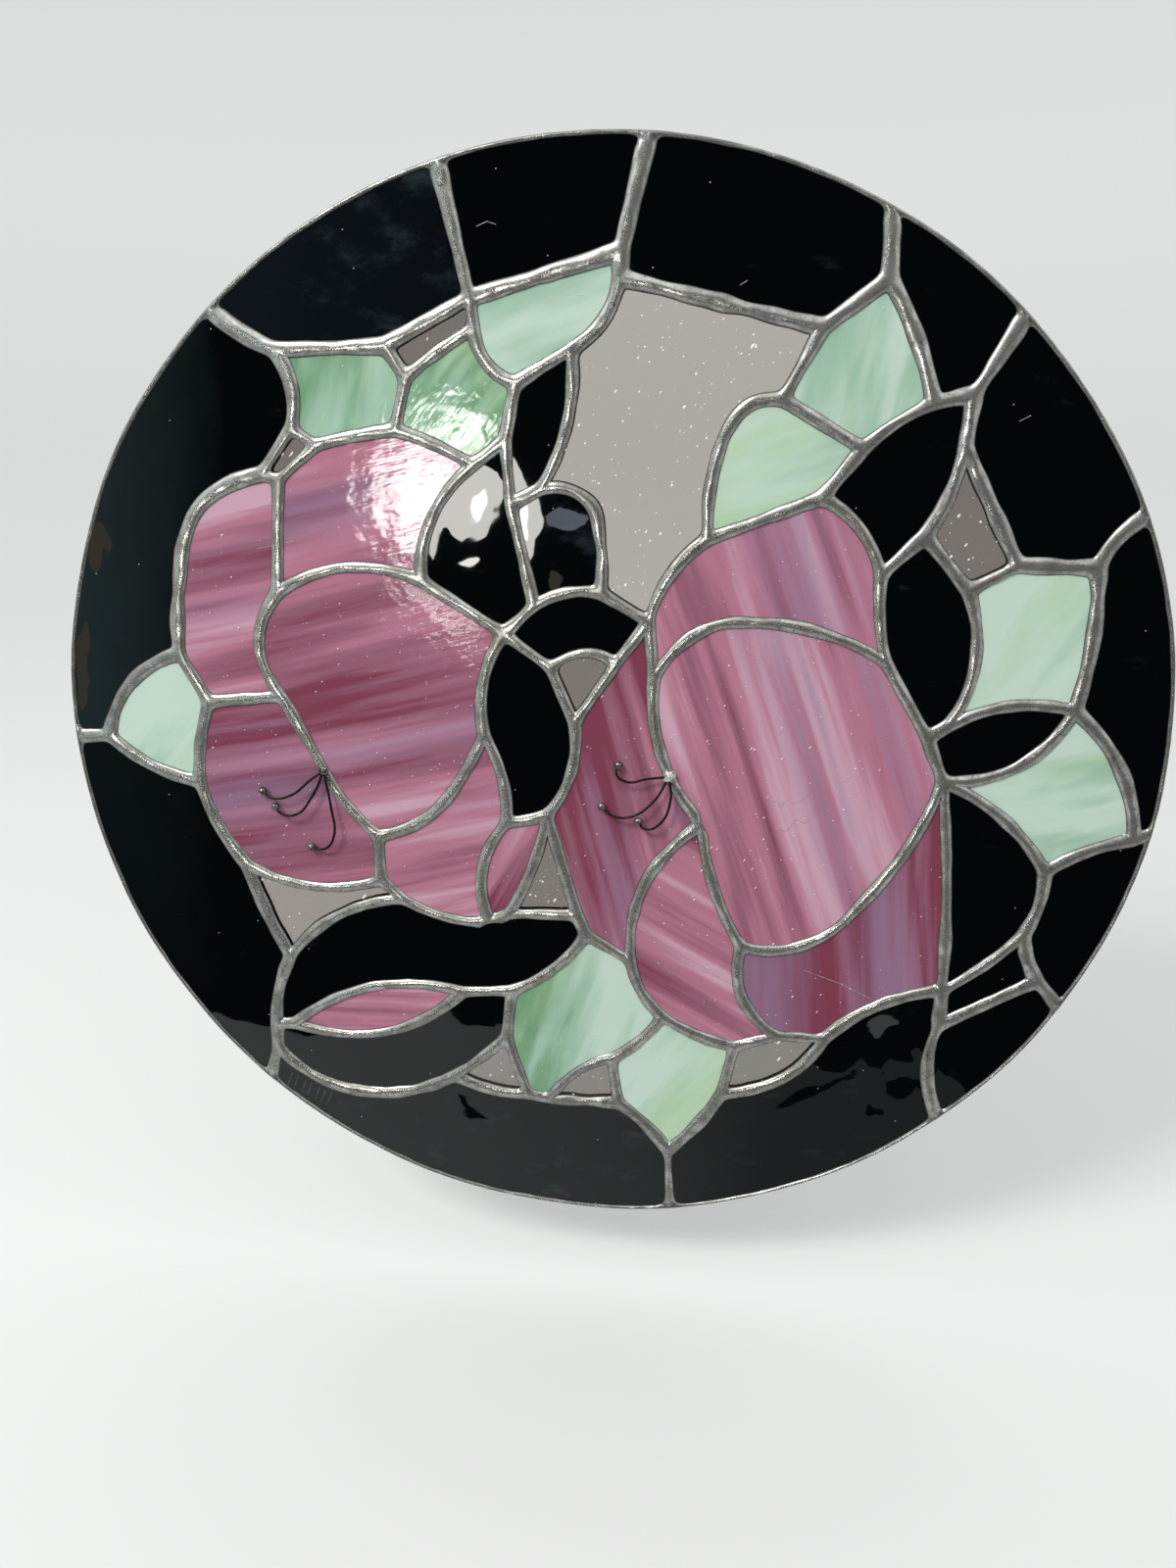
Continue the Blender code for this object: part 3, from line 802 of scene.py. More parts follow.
def mottled_material(name, first, second, scale, **values):
    """A small part's material: cloudy between two colours and slightly uneven."""
    material, tree, shader = new_material(name, **values)
    clouds = noise_node(tree, coordinates(tree), scale, detail=3, roughness=0.6)
    colour = colour_ramp(tree, clouds, ((0.36, first), (0.64, second)))
    tree.links.new(colour, shader.inputs["Base Color"])
    add_bump(tree, shader, clouds, 0.3, 0.0002)
    return material


def foil_material(settings):
    """Copper foil seen through the glass, with dark creases painted as shade."""
    material, tree, shader = new_material("copper_foil", Metallic=0.85, Roughness=0.42)
    creases = noise_node(tree, coordinates(tree), 700, detail=3)
    colour = colour_ramp(tree, creases, ((0.3, settings.foil), (0.7, FOIL_CREASE_SHADE)))
    tree.links.new(colour, shader.inputs["Base Color"])
    return material


def sheet_streaks(tree, sheet, along, across, detail=2.0, distortion=0.15):
    """Noise drawn out along a sheet: waves per metre along and across its grain."""
    vector = add_node(tree, "ShaderNodeMapping", {"Vector": sheet, "Scale": (along, across, 1)})
    return noise_node(tree, vector.outputs[0], 1, detail, distortion=distortion)


def streaky_material(name, stops, veil, seed, drawn, share):
    """Rolled opal glass whose colours run along the sheet's grain.

    drawn is how many times longer than wide the broad streaks are, and share is how
    much of the pattern is fine streaks. Each piece's tone shifts its colours, and the
    veil is a second colour that lies over some of it."""
    material, tree, shader = new_material(name, Roughness=0.06, IOR=GLASS_IOR)
    sheet = coordinates(tree, place=(0, 0, seed), source="sheet")
    broad = sheet_streaks(tree, sheet, 52 / drawn, 52, 2.5, 0.25)
    fine = sheet_streaks(tree, sheet, 230 / drawn, 230, 3, 0.1)
    streaks = plus(tree, times(tree, broad, 1 - share), times(tree, fine, share))
    streaks = plus(tree, streaks, attribute(tree, "tone"))
    body = colour_ramp(tree, streaks, stops)
    other_sheet = coordinates(tree, place=(7.1, 3.3, seed + 5), source="sheet")
    wisps = sheet_streaks(tree, other_sheet, 34 / drawn, 34, 3, 0.3)
    wisps = plus(tree, plus(tree, wisps, attribute(tree, "veil")), times(tree, fine, 0.25))
    veiled = colour_ramp(tree, wisps, ((0.60, 0.0), (0.84, 0.70)))
    tree.links.new(mix_colours(tree, veiled, body, veil), shader.inputs["Base Color"])
    ridges = sheet_streaks(tree, sheet, 90, 620, 3)
    dimples = noise_node(tree, coordinates(tree), 130)
    height = plus(tree, times(tree, ridges, 0.13), times(tree, dimples, 0.40))
    add_bump(tree, shader, height, 0.6, 0.0005)
    return material


def black_material(settings):
    """Glossy black glass with smudges where its tone asks for them, and single specks of dust."""
    material, tree, shader = new_material("black_glass", Roughness=0.015, IOR=GLASS_IOR)
    wiped = coordinates(tree, (1, 1, 2), turn=35)
    smudges = noise_node(tree, wiped, 46, detail=6, roughness=0.68, distortion=0.15)
    smudged = plus(tree, smudges, attribute(tree, "tone"))
    body = colour_ramp(tree, smudged, ((0.62, settings.black), (0.92, SMUDGE)))
    dust = specks(tree, spacing=0.016, size=0.00022, share=0.22)
    tree.links.new(mix_colours(tree, dust, body, DUST), shader.inputs["Base Color"])
    ripple = noise_node(tree, coordinates(tree), 55)
    add_bump(tree, shader, ripple, 0.16, 0.0003)
    return material


def clear_material(name, tint):
    """See-through glass with a slight ripple."""
    material, tree, shader = new_material(
        name, Roughness=0.02, IOR=1.5, Transmission_Weight=1.0, Base_Color=(*tint, 1))
    ripple = noise_node(tree, coordinates(tree), 140)
    add_bump(tree, shader, ripple, 0.3, 0.0003)
    return material


# Geometry node trees

def new_tree(name, **inputs):
    """An empty tree and what its inputs give, from the inputs' names and kinds."""
    tree = bpy.data.node_groups.new(name, "GeometryNodeTree")
    for label, kind in (("Geometry", "Geometry"), *inputs.items()):
        tree.interface.new_socket(
            label.replace("_", " "), in_out="INPUT", socket_type="NodeSocket" + kind)
    tree.interface.new_socket("Geometry", in_out="OUTPUT", socket_type="NodeSocketGeometry")
    return tree, add_node(tree, "NodeGroupInput").outputs


def moved(tree, geometry, offset):
    return add_node(tree, "GeometryNodeSetPosition", {
        "Geometry": geometry, "Offset": offset}).outputs[0]


def realized(tree, geometry):
    return add_node(tree, "GeometryNodeRealizeInstances", {0: geometry}).outputs[0]


def made_of(tree, geometry, material, selection=True):
    return add_node(tree, "GeometryNodeSetMaterial", {
        "Geometry": geometry, "Selection": selection, "Material": material}).outputs[0]


def give_out(tree, geometry):
    add_node(tree, "NodeGroupOutput", {0: geometry})
    return tree


def wire_along(tree, curves, diameter, corners):
    """Tubes round curves, closed at their ends."""
    profile = add_node(tree, "GeometryNodeCurvePrimitiveCircle", {
        "Resolution": corners, "Radius": math_node(tree, "DIVIDE", diameter, 2.0)})
    return add_node(tree, "GeometryNodeCurveToMesh", {
        "Curve": curves, "Profile Curve": profile.outputs[0], "Fill Caps": True}).outputs[0]


def uneven_tree(name):
    """Moves raised points along their normals by noise, then sets the materials."""
    tree, given = new_tree(name, Wave_Size="Float", Wave_Height="Float", Seed="Int",
                           Material="Material", Hidden_Material="Material")
    waves = add_node(tree, "ShaderNodeTexNoise", {
        "Vector": add_node(tree, "GeometryNodeInputPosition").outputs[0],
        "W": given["Seed"],
        "Scale": math_node(tree, "DIVIDE", 1.0, given["Wave Size"]),
        "Detail": 1.5,
    }, noise_dimensions="4D").outputs[0]
    raised = add_node(tree, "GeometryNodeInputNamedAttribute", {"Name": "raised"}).outputs[0]
    lift = times(tree, math_node(tree, "SUBTRACT", waves, 0.5), 2.0)
    lift = times(tree, times(tree, lift, given["Wave Height"]), raised)
    offset = add_node(tree, "ShaderNodeVectorMath", {
        0: add_node(tree, "GeometryNodeInputNormal").outputs[0], "Scale": lift,
    }, operation="SCALE").outputs[0]
    uneven = realized(tree, moved(tree, given["Geometry"], offset))
    hidden = add_node(tree, "GeometryNodeInputNamedAttribute", {"Name": "hidden"},
                      data_type="BOOLEAN").outputs[0]
    shown = made_of(tree, uneven, given["Material"])
    return give_out(tree, made_of(tree, shown, given["Hidden Material"], hidden))


def grains_tree(name):
    """Scatters small grains in swarms on faces: most are round and some are stretched."""
    tree, given = new_tree(name, Per_Area="Float", Size="Float", Lean="Float",
                           Shallowest="Float", Deepest="Float", Seed="Int", Material="Material")

    def chance(low, high, seed, power=1.0):
        drawn = add_node(tree, "FunctionNodeRandomValue", {2: low, 3: high, "Seed": seed}).outputs[1]
        return drawn if power == 1.0 else math_node(tree, "POWER", drawn, power)

    swarms = add_node(tree, "ShaderNodeTexNoise", {"Scale": 38.0, "Detail": 1.0}).outputs[0]
    crowd = times(tree, math_node(tree, "SUBTRACT", swarms, 0.36), 6.5)
    density = times(tree, given["Per Area"], math_node(tree, "MAXIMUM", crowd, 0.12))
    spots = add_node(tree, "GeometryNodeDistributePointsOnFaces", {
        "Mesh": given["Geometry"], "Density": density, "Seed": given["Seed"]}).outputs[0]
    depth = chance(given["Shallowest"], given["Deepest"], given["Seed"])
    inward = add_node(tree, "ShaderNodeCombineXYZ", {"Y": depth}).outputs[0]
    grain = add_node(tree, "GeometryNodeMeshUVSphere", {"Radius": 0.5, "Segments": 8, "Rings": 5})
    size = chance(0.30, 1.0, plus(tree, given["Seed"], 1.0), 2.0)
    stretch = chance(0.0, 1.0, plus(tree, given["Seed"], 2.0), 4.0)
    wide = times(tree, size, given["Size"])
    long = times(tree, wide, plus(tree, 1.0, times(tree, stretch, 2.2)))
    scale = add_node(tree, "ShaderNodeCombineXYZ", {"X": wide, "Y": wide, "Z": long}).outputs[0]
    lean = add_node(tree, "ShaderNodeCombineXYZ", {"Y": given["Lean"]}).outputs[0]
    grains = add_node(tree, "GeometryNodeInstanceOnPoints", {
        "Points": moved(tree, spots, inward), "Instance": grain.outputs[0],
        "Scale": scale, "Rotation": lean}).outputs[0]
    return give_out(tree, made_of(tree, realized(tree, grains), given["Material"]))


def stamen_tree(name):
    """Draws wire along curves and melts a ball onto each curve's end."""
    tree, given = new_tree(name, Wire_Diameter="Float", Ball_Diameter="Float",
                           Wire_Material="Material", Ball_Material="Material")
    wires = wire_along(tree, given["Geometry"], given["Wire Diameter"], 12)
    tips = add_node(tree, "GeometryNodeCurveEndpointSelection", {"Start Size": 0, "End Size": 1})
    ball = add_node(tree, "GeometryNodeMeshUVSphere", {
        "Segments": 24, "Rings": 16,
        "Radius": math_node(tree, "DIVIDE", given["Ball Diameter"], 2.0)})
    balls = add_node(tree, "GeometryNodeInstanceOnPoints", {
        "Points": given["Geometry"], "Selection": tips.outputs[0],
        "Instance": ball.outputs[0]}).outputs[0]
    joined = add_node(tree, "GeometryNodeJoinGeometry")
    tree.links.new(made_of(tree, wires, given["Wire Material"]), joined.inputs[0])
    tree.links.new(made_of(tree, balls, given["Ball Material"]), joined.inputs[0])
    return give_out(tree, realized(tree, joined.outputs[0]))


def marks_tree(name):
    """Lays a thin flat strip along curves."""
    tree, given = new_tree(name, Width="Float", Thickness="Float", Material="Material")
    tube = wire_along(tree, given["Geometry"], given["Width"], 6)
    place = add_node(tree, "GeometryNodeInputPosition").outputs[0]
    depth = add_node(tree, "ShaderNodeSeparateXYZ", {0: place}).outputs[1]
    surface = add_node(tree, "GeometryNodeAttributeStatistic", {
        "Geometry": tube, "Attribute": depth}).outputs["Mean"]
    thinness = math_node(tree, "DIVIDE", given["Thickness"], given["Width"])
    pressed = times(tree, math_node(tree, "SUBTRACT", surface, depth),
                    math_node(tree, "SUBTRACT", 1.0, thinness))
    offset = add_node(tree, "ShaderNodeCombineXYZ", {"Y": pressed}).outputs[0]
    strip = realized(tree, moved(tree, tube, offset))
    return give_out(tree, made_of(tree, strip, given["Material"]))


def shared_tree(name, build):
    """The tree of that name, built at its first use."""
    return bpy.data.node_groups.get(name) or build(name)


def grow(thing, tree, **inputs):
    """Runs a geometry node tree on an object and keeps its result as a plain mesh object."""
    modifier = thing.modifiers.new(tree.name, "NODES")
    modifier.node_group = tree
    sockets = {s.name: s.identifier for s in tree.interface.items_tree if s.in_out == "INPUT"}
    for name, value in inputs.items():
        modifier[sockets[name.replace("_", " ")]] = value
    graph = bpy.context.evaluated_depsgraph_get()
    mesh = bpy.data.meshes.new_from_object(thing.evaluated_get(graph), depsgraph=graph)
    if thing.type == "MESH":
        thing.modifiers.clear()
        thing.data = mesh
        return thing
    name = thing.name
    bpy.data.objects.remove(thing)
    return place_object(name, mesh)


# Pieces

def place_object(name, data):
    thing = bpy.data.objects.new(name, data)
    bpy.context.scene.collection.objects.link(thing)
    return thing


def place_lines(name, routes):
    """Straight lines through lists of places, as one curve object."""
    curve = bpy.data.curves.new(name, "CURVE")
    curve.dimensions = "3D"
    for route in routes:
        spline = curve.splines.new("POLY")
        spline.points.add(len(route) - 1)
        for point, place in zip(spline.points, route):
            point.co = (*place, 1)
    return place_object(name, curve)


def place_bends(name, routes):
    """Smooth bends through lists of places, as one curve object."""
    curve = bpy.data.curves.new(name, "CURVE")
    curve.dimensions = "3D"
    for route in routes:
        spline = curve.splines.new("BEZIER")
        spline.bezier_points.add(len(route) - 1)
        spline.resolution_u = BEND_STRETCHES
        for point, place in zip(spline.bezier_points, route):
            point.co = place
            point.handle_left_type = point.handle_right_type = "AUTO"
    return place_object(name, curve)


def new_mesh(name, vertices, faces):
    mesh = bpy.data.meshes.new(name)
    mesh.from_pydata(vertices, [], faces)
    return mesh


def add_values(mesh, name, values, kind="FLOAT", domain="POINT"):
    mesh.attributes.new(name, kind, domain).data.foreach_set("value", values)


def face_outwards(mesh, sharp, joined=False):
    """Turns every face outwards and shades the mesh smooth up to an angle in degrees.

    joined first makes one point of those that lie in one place."""
    shape = bmesh.new()
    shape.from_mesh(mesh)
    if joined:
        bmesh.ops.remove_doubles(shape, verts=shape.verts, dist=SAME_PLACE / 5)
        bmesh.ops.dissolve_degenerate(shape, edges=shape.edges, dist=SAME_PLACE / 5)
    bmesh.ops.recalc_face_normals(shape, faces=shape.faces)
    shape.to_mesh(mesh)
    shape.free()
    mesh.shade_smooth()
    mesh.set_sharp_from_angle(angle=math.radians(sharp))


def finish_piece(thing, nodes=()):
    """Hands a piece over: it rides on the panel and stands for its solids, if it has any."""
    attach(thing, "root")
    if nodes:
        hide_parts(*nodes)


def swayed(points, on_rim, sway):
    """The crests' points, wandering to either side of the seams' middle lines."""
    moved = points.copy()
    for i, point in enumerate(points):
        if i not in on_rim:
            moved[i] += (sway * wander(point, *SIDEWAYS_NOISE), sway * wander(point, *UPWARDS_NOISE))
    return moved


def bead_level(share):
    """The height of a bead's cross-section at a share of its half width, from 1 down to 0."""
    return max(0.0, 1 - share**2) ** FULLNESS


def build_beads(points, heights, windows, seams, sway):
    """The solder net: beads on both faces, foil between the glass, and the rounded rim."""
    rim = walk_rim(seams)
    on_rim = set(rim)
    crest_points = swayed(points, on_rim, sway)
    bead_tops = {-1: GLASS_FACE + heights, 1: GLASS_FACE + heights * BACK_FLATNESS}
    vertices, faces, across, raised, hidden = [], [], [], [], []
    seat = GLASS_FACE - BEAD_SINK

    def add(point, depth, share, lift, dull=False):
        vertices.append(in_space(point, depth))
        across.append(max(share, RIM_DULLNESS) if dull else share)
        raised.append(lift)
        return len(vertices) - 1

    def band(first, second, is_hidden=False):
        count = len(first)
        for i in range(count):
            after = (i + 1) % count
            faces.append((first[i], first[after], second[after], second[i]))
            hidden.append(is_hidden)

    front, back = (
        [add(p, side * top, 0.0, 1.0, i in on_rim)
         for i, (p, top) in enumerate(zip(crest_points, bead_tops[side]))]
        for side in (-1, 1)
    )
    for window in windows:
        around = []
        for side, rings, crests in ((-1, FRONT_RINGS, front), (1, BACK_RINGS, back)):
            loops = [[crests[i] for i in window.ids]]
            for share in rings:
                row = []
                for k, i in enumerate(window.ids):
                    place = crest_points[i] * (1 - share) + window.edge[k] * share
                    level = seat + (bead_tops[side][i] - seat) * bead_level(share)
                    row.append(add(place, side * level, share, bead_level(share), i in on_rim))
                loops.append(row)
            walls = [add(p, side * seat, 1.0, 0.0) for p in window.wall]
            around.append((loops, walls))
        (front_loops, front_wall), (back_loops, back_wall) = around
        for first, second in zip(front_loops, front_loops[1:]):
            band(first, second)
        band(front_loops[-1], front_wall, True)
        band(front_wall, back_wall, True)
        band(back_wall, back_loops[-1], True)
        for first, second in zip(back_loops[::-1], back_loops[-2::-1]):
            band(first, second)
    columns = [[front[i] for i in rim]]
    profile = [(inset, -level) for inset, level in RIM_SIDE]
    profile += [(inset, level) for inset, level in reversed(RIM_SIDE)]
    for inset, level in profile:
        row = []
        for i in rim:
            place = Vector(points[i])
            place *= 1 + (RIM_ROUND - inset) / place.length
            depth = (GLASS_FACE + heights[i]) * level
            row.append(add(place, depth, RIM_SIDE_SHARE, RIM_SIDE_LUMPS, True))
        columns.append(row)
    columns.append([back[i] for i in rim])
    for first, second in zip(columns, columns[1:]):
        band(second, first)
    mesh = new_mesh("solder_beads", vertices, faces)
    add_values(mesh, "across", across)
    add_values(mesh, "raised", raised)
    add_values(mesh, "hidden", hidden, "BOOLEAN", "FACE")
    face_outwards(mesh, SHARP_SOLDER, joined=True)
    return place_object("solder_beads", mesh)


def walk_rim(seams):
    """The numbers of the rim's points, anticlockwise."""
    after = {}
    for seam in seams:
        if seam.on_rim:
            a, b = seam.line[0], seam.line[-1]
            ids = seam.ids if a[0] * b[1] - a[1] * b[0] > 0 else seam.ids[::-1]
            after.update(zip(ids, ids[1:]))
    start = next(iter(after))
    rim = [start]
    while after[rim[-1]] != start:
        rim.append(after[rim[-1]])
    return rim


def inside(point, loop):
    """Whether a point lies in a loop."""
    after = np.roll(loop, -1, axis=0)
    spans = (loop[:, 1] > point[1]) != (after[:, 1] > point[1])
    a, b = loop[spans], after[spans]
    crossing = a[:, 0] + (point[1] - a[:, 1]) * (b[:, 0] - a[:, 0]) / (b[:, 1] - a[:, 1])
    return (point[0] < crossing).sum() % 2 == 1


def window_of(node, windows):
    """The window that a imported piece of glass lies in: the one whose glass has its bounds."""
    shape = frame["nodes"][node].data
    places = np.array([flat(v.co) for v in shape.vertices])

    def misfit(window):
        low = np.abs(window.glass.min(0) - places.min(0)).sum()
        high = np.abs(window.glass.max(0) - places.max(0)).sum()
        return low + high

    return min(windows, key=misfit)


def thin_out(loop, least):
    """The loop without points that are nearer than that to the last one kept."""
    kept = [loop[0]]
    for point in loop[1:]:
        if np.hypot(*(point - kept[-1])) > least:
            kept.append(point)
    if np.hypot(*(kept[-1] - kept[0])) < least:
        kept.pop()
    return np.array(kept)


# The least distance between points on a sheet's outline, and how far its inner points
# keep from them, as a share of the distance between inner points
OUTLINE_STEP = 0.0006
EDGE_CLEAR = 0.55


def fill_sheet(outline, step):
    """Points and triangles that fill an outline, its own points first."""
    low, high = outline.min(0), outline.max(0)
    rows = np.arange(low[1] + step / 2, high[1], step * math.sqrt(3) / 2)
    inner = []
    for number, up in enumerate(rows):
        for right in np.arange(low[0] + step / 4 + (number % 2) * step / 2, high[0], step):
            spot = np.array((right, up))
            clear = np.linalg.norm(outline - spot, axis=1).min() > step * EDGE_CLEAR
            if clear and inside(spot, outline):
                inner.append(spot)
    places = [Vector(p) for p in (*outline, *inner)]
    ring = list(range(len(outline)))
    done = delaunay_2d_cdt(places, [], [ring], 1, SAME_PLACE / 10)
    return np.array([tuple(p) for p in done[0]]), [tuple(f) for f in done[2]], len(outline)


def direction(degrees):
    turn = math.radians(degrees)
    return np.array((math.cos(turn), math.sin(turn)))


def build_sheet(name, window, step, cut):
    """A piece of glass cut to a window, with its waves, grain and tone."""
    outline = thin_out(window.glass, OUTLINE_STEP)
    places, triangles, rim_count = fill_sheet(outline, step)
    count = len(places)
    vertices = [in_space(p, -GLASS_FACE) for p in places]
    vertices += [in_space(p, GLASS_FACE) for p in places]
    faces = [tuple(t) for t in triangles]
    faces += [tuple(k + count for k in reversed(t)) for t in triangles]
    for i in range(rim_count):
        after = (i + 1) % rim_count
        faces.append((after, i, i + count, after + count))
    mesh = new_mesh(name, vertices, faces)
    raised = [0.0 if k < rim_count else cut.wave for k in range(count)] * 2
    add_values(mesh, "raised", raised)
    along = places @ direction(cut.grain)
    over = places @ direction(cut.grain + 90)
    lean = places @ direction(cut.toward)
    lean = (lean - lean.min()) / np.ptp(lean)
    for shade, (first, last) in (("tone", cut.tones), ("veil", cut.veils)):
        values = first + (last - first) * lean
        add_values(mesh, shade, [*values, *values])
    sheet = mesh.uv_layers.new(name="sheet")
    corners = np.empty(len(mesh.loops), dtype=np.int32)
    mesh.loops.foreach_get("vertex_index", corners)
    uv = np.stack((along + cut.place[0], over + cut.place[1]), axis=1)[corners % count]
    sheet.data.foreach_set("uv", uv.astype(np.float32).ravel())
    face_outwards(mesh, SHARP_GLASS)
    return place_object(name, mesh)


@dataclass
class Cut:
    """How a piece is cut from its sheet.

    It has the grain's rise in degrees, the place on the sheet, the shift of its
    colours and of its veil from one side of the piece to the other, the direction
    of these in degrees, and how much wavier it is than most."""

    grain: float = 0.0
    place: tuple = (0.0, 0.0)
    tones: tuple = (0.0, 0.0)
    toward: float = 0.0
    veils: tuple = (0.0, 0.0)
    wave: float = 1.0


PINK_CUTS = {
    "left_petal_outer": Cut(12, (0.1, 0.02), (0.02, 0.0), -90, (-0.05, 0.0)),
    "left_petal_top": Cut(13, (0.5, 0.11), (-0.03, 0.01), 0, (0.0, -0.08), 0.4),
    "left_petal_middle": Cut(14, (0.9, 0.25), (0.02, -0.04), -90, (-0.08, 0.10), 0.6),
    "left_petal_low": Cut(10, (1.3, 0.33), (-0.04, -0.01), 0, (-0.03, -0.06)),
    "left_petal_bottom": Cut(14, (1.7, 0.42), (0.0, 0.09), -60, (-0.01, -0.01)),
    "left_petal_small": Cut(60, (2.1, 0.52), (-0.10, -0.03), 0, (-0.1, -0.1)),
    "right_petal_top": Cut(-68, (2.5, 0.63), (0.045, 0.035), 0, (-0.06, 0.06)),
    "right_petal_middle": Cut(-70, (2.9, 0.71), (0.05, 0.10), 35, (-0.14, 0.05)),
    "right_petal_inner": Cut(-75, (3.3, 0.83), (-0.14, 0.06), -90, (-0.2, 0.12)),
    "right_petal_bottom": Cut(-30, (3.7, 0.94), (-0.03, 0.05), -60, (-0.16, -0.16)),
    "right_petal_low": Cut(-85, (4.1, 1.02), (-0.17, -0.07), 0, (0.07, 0.13)),
    "bud": Cut(2, (4.5, 1.13), (0.09, 0.09), 0, (-0.2, -0.2)),
}
GREEN_CUTS = {
    "leaf_upper_left": Cut(75, (0.2, 0.05), (-0.12, 0.0), 0, (-0.1, -0.1)),
    "leaf_over_left_flower": Cut(50, (0.6, 0.13), (-0.22, -0.28), 60, (-0.1, 0.20), 0.5),
    "leaf_top": Cut(20, (1.0, 0.21), (0.06, 0.04), 0, (-0.2, -0.2)),
    "leaf_top_right": Cut(80, (1.4, 0.34), (-0.13, 0.12), -20, (-0.1, -0.05)),
    "leaf_over_right_flower": Cut(20, (1.8, 0.42), (0.12, 0.02), -70, (-0.15, 0.16)),
    "leaf_right": Cut(60, (2.2, 0.55), (0.14, 0.12), 0, (-0.12, -0.04)),
    "leaf_low_right": Cut(15, (2.6, 0.63), (0.16, -0.10), -90, (-0.15, -0.1)),
    "leaf_left": Cut(50, (3.0, 0.74), (0.12, 0.02), -45, (-0.15, 0.08)),
    "leaf_bottom_left": Cut(72, (3.4, 0.82), (-0.32, 0.28), 0, (-0.02, -0.15)),
    "leaf_bottom": Cut(50, (3.8, 0.91), (0.10, 0.12), -30, (0.02, 0.04)),
}
BLACK_CUTS = {node: Cut() for node in (
    "border_left", "border_low_left", "border_bottom", "border_bottom_right",
    "border_small_low_right", "border_low_right", "border_right", "border_upper_right",
    "border_top_right", "border_top", "border_top_left", "border_upper_left",
    "dark_centre_left", "dark_centre_lens", "dark_centre_top", "dark_centre_arch",
    "dark_centre_low", "dark_right_top", "dark_right_lens", "dark_right_sliver",
    "dark_right_low", "dark_right_small", "dark_above_bud", "dark_below_bud",
)}
BLACK_CUTS["border_upper_left"] = Cut(tones=(0.05, 0.17))
BLACK_CUTS["dark_centre_top"] = Cut(tones=(0.0, 0.16), toward=30, wave=0.3)
BLACK_CUTS["border_bottom"] = Cut(tones=(0.08, 0.10))
BLACK_CUTS["border_bottom_right"] = Cut(tones=(0.06, 0.06), wave=0.2)
BLACK_CUTS["dark_right_low"] = Cut(wave=2.0)
BLACK_CUTS["dark_centre_left"] = BLACK_CUTS["dark_centre_arch"] = Cut(wave=0.3)
CLEAR_CUTS = {"clear_top": Cut()}
# Small clear panes whose shaded and darkest shaded tints are painted shade
SHADED_CUTS = {node: Cut() for node in (
    "clear_low_left", "clear_bottom_left", "clear_bottom", "clear_bottom_right",
)}
DARKEST_SHADED_CUTS = {node: Cut() for node in (
    "clear_upper_left", "clear_small_left", "clear_centre", "clear_under_left_flower",
    "clear_right",
)}


def lay_glass(context, cuts, material):
    """Cuts, waves and places every piece of one kind of glass."""
    glass = context.scene.panel_glass
    windows = pattern(context.scene.panel_solder)["windows"]
    tree = shared_tree("uneven_surface", uneven_tree)
    for number, (node, cut) in enumerate(cuts.items()):
        sheet = build_sheet(node + "_cut_glass", window_of(node, windows), glass.step, cut)
        grow(sheet, tree, Wave_Size=glass.wave_size, Wave_Height=glass.wave_height,
             Seed=number, Material=material, Hidden_Material=material)
        finish_piece(sheet, [node])


# How far the long grains lean from upright, and the least and the greatest depth of a
# grain's middle in the glass, as shares of its size
GRAIN_LEAN = math.radians(35)
GRAIN_DEPTHS = (-0.10, 0.04)


def scatter(nodes, name, per_area, size, material, seed):
    """Tiny bright grains that stand just out of the front of some panes."""
    windows = pattern(bpy.context.scene.panel_solder)["windows"]
    vertices, faces = [], []
    for node in nodes:
        start = len(vertices)
        edge = thin_out(window_of(node, windows).edge, size)
        vertices += [in_space(p, -GLASS_FACE) for p in edge]
        faces.append(tuple(range(start, len(vertices))))
    shallowest, deepest = (size * share for share in GRAIN_DEPTHS)
    grains = grow(
        place_object(name, new_mesh(name, vertices, faces)),
        shared_tree("scattered_grains", grains_tree), Per_Area=per_area, Size=size,
        Lean=GRAIN_LEAN, Shallowest=shallowest, Deepest=deepest, Seed=seed, Material=material)
    grains.data.shade_smooth()
    finish_piece(grains)


class PANEL_OT_solder(bpy.types.Operator):
    """Run the solder as rounded, lumpy beads over every seam"""

    bl_idname = "panel.solder"
    bl_label = "Run solder"

    def execute(self, context):
        settings = context.scene.panel_solder
        made = pattern(settings)
        beads = build_beads(
            made["points"], made["heights"], made["windows"], made["seams"], settings.sway)
        tree = shared_tree("uneven_surface", uneven_tree)
        grow(beads, tree, Wave_Size=settings.lump_size, Wave_Height=settings.lump_height,
             Seed=5, Material=solder_material(settings), Hidden_Material=foil_material(settings))
        finish_piece(beads, ["solder_net"])
        return {"FINISHED"}


class PANEL_OT_pink_glass(bpy.types.Operator):
    """Cut the flowers' petals from streaky pink glass"""

    bl_idname = "panel.pink_glass"
    bl_label = "Cut pink glass"

    def execute(self, context):
        s = context.scene.panel_glass
        stops = ((0.36, s.crimson), (0.45, s.pink), (0.54, s.bright_pink), (0.66, s.rose))
        material = streaky_material("pink_glass", stops, s.mauve, 3.0, 16, 0.28)
        lay_glass(context, PINK_CUTS, material)
        return {"FINISHED"}


class PANEL_OT_green_glass(bpy.types.Operator):
    """Cut the leaves from pale green glass"""

    bl_idname = "panel.green_glass"
    bl_label = "Cut green glass"

    def execute(self, context):
        s = context.scene.panel_glass
        stops = ((0.28, s.leaf_green), (0.42, s.pale_green), (0.60, s.white_green))
        material = streaky_material("green_glass", stops, s.yellow_green, 8.0, 4.5, 0.16)
        lay_glass(context, GREEN_CUTS, material)
        return {"FINISHED"}


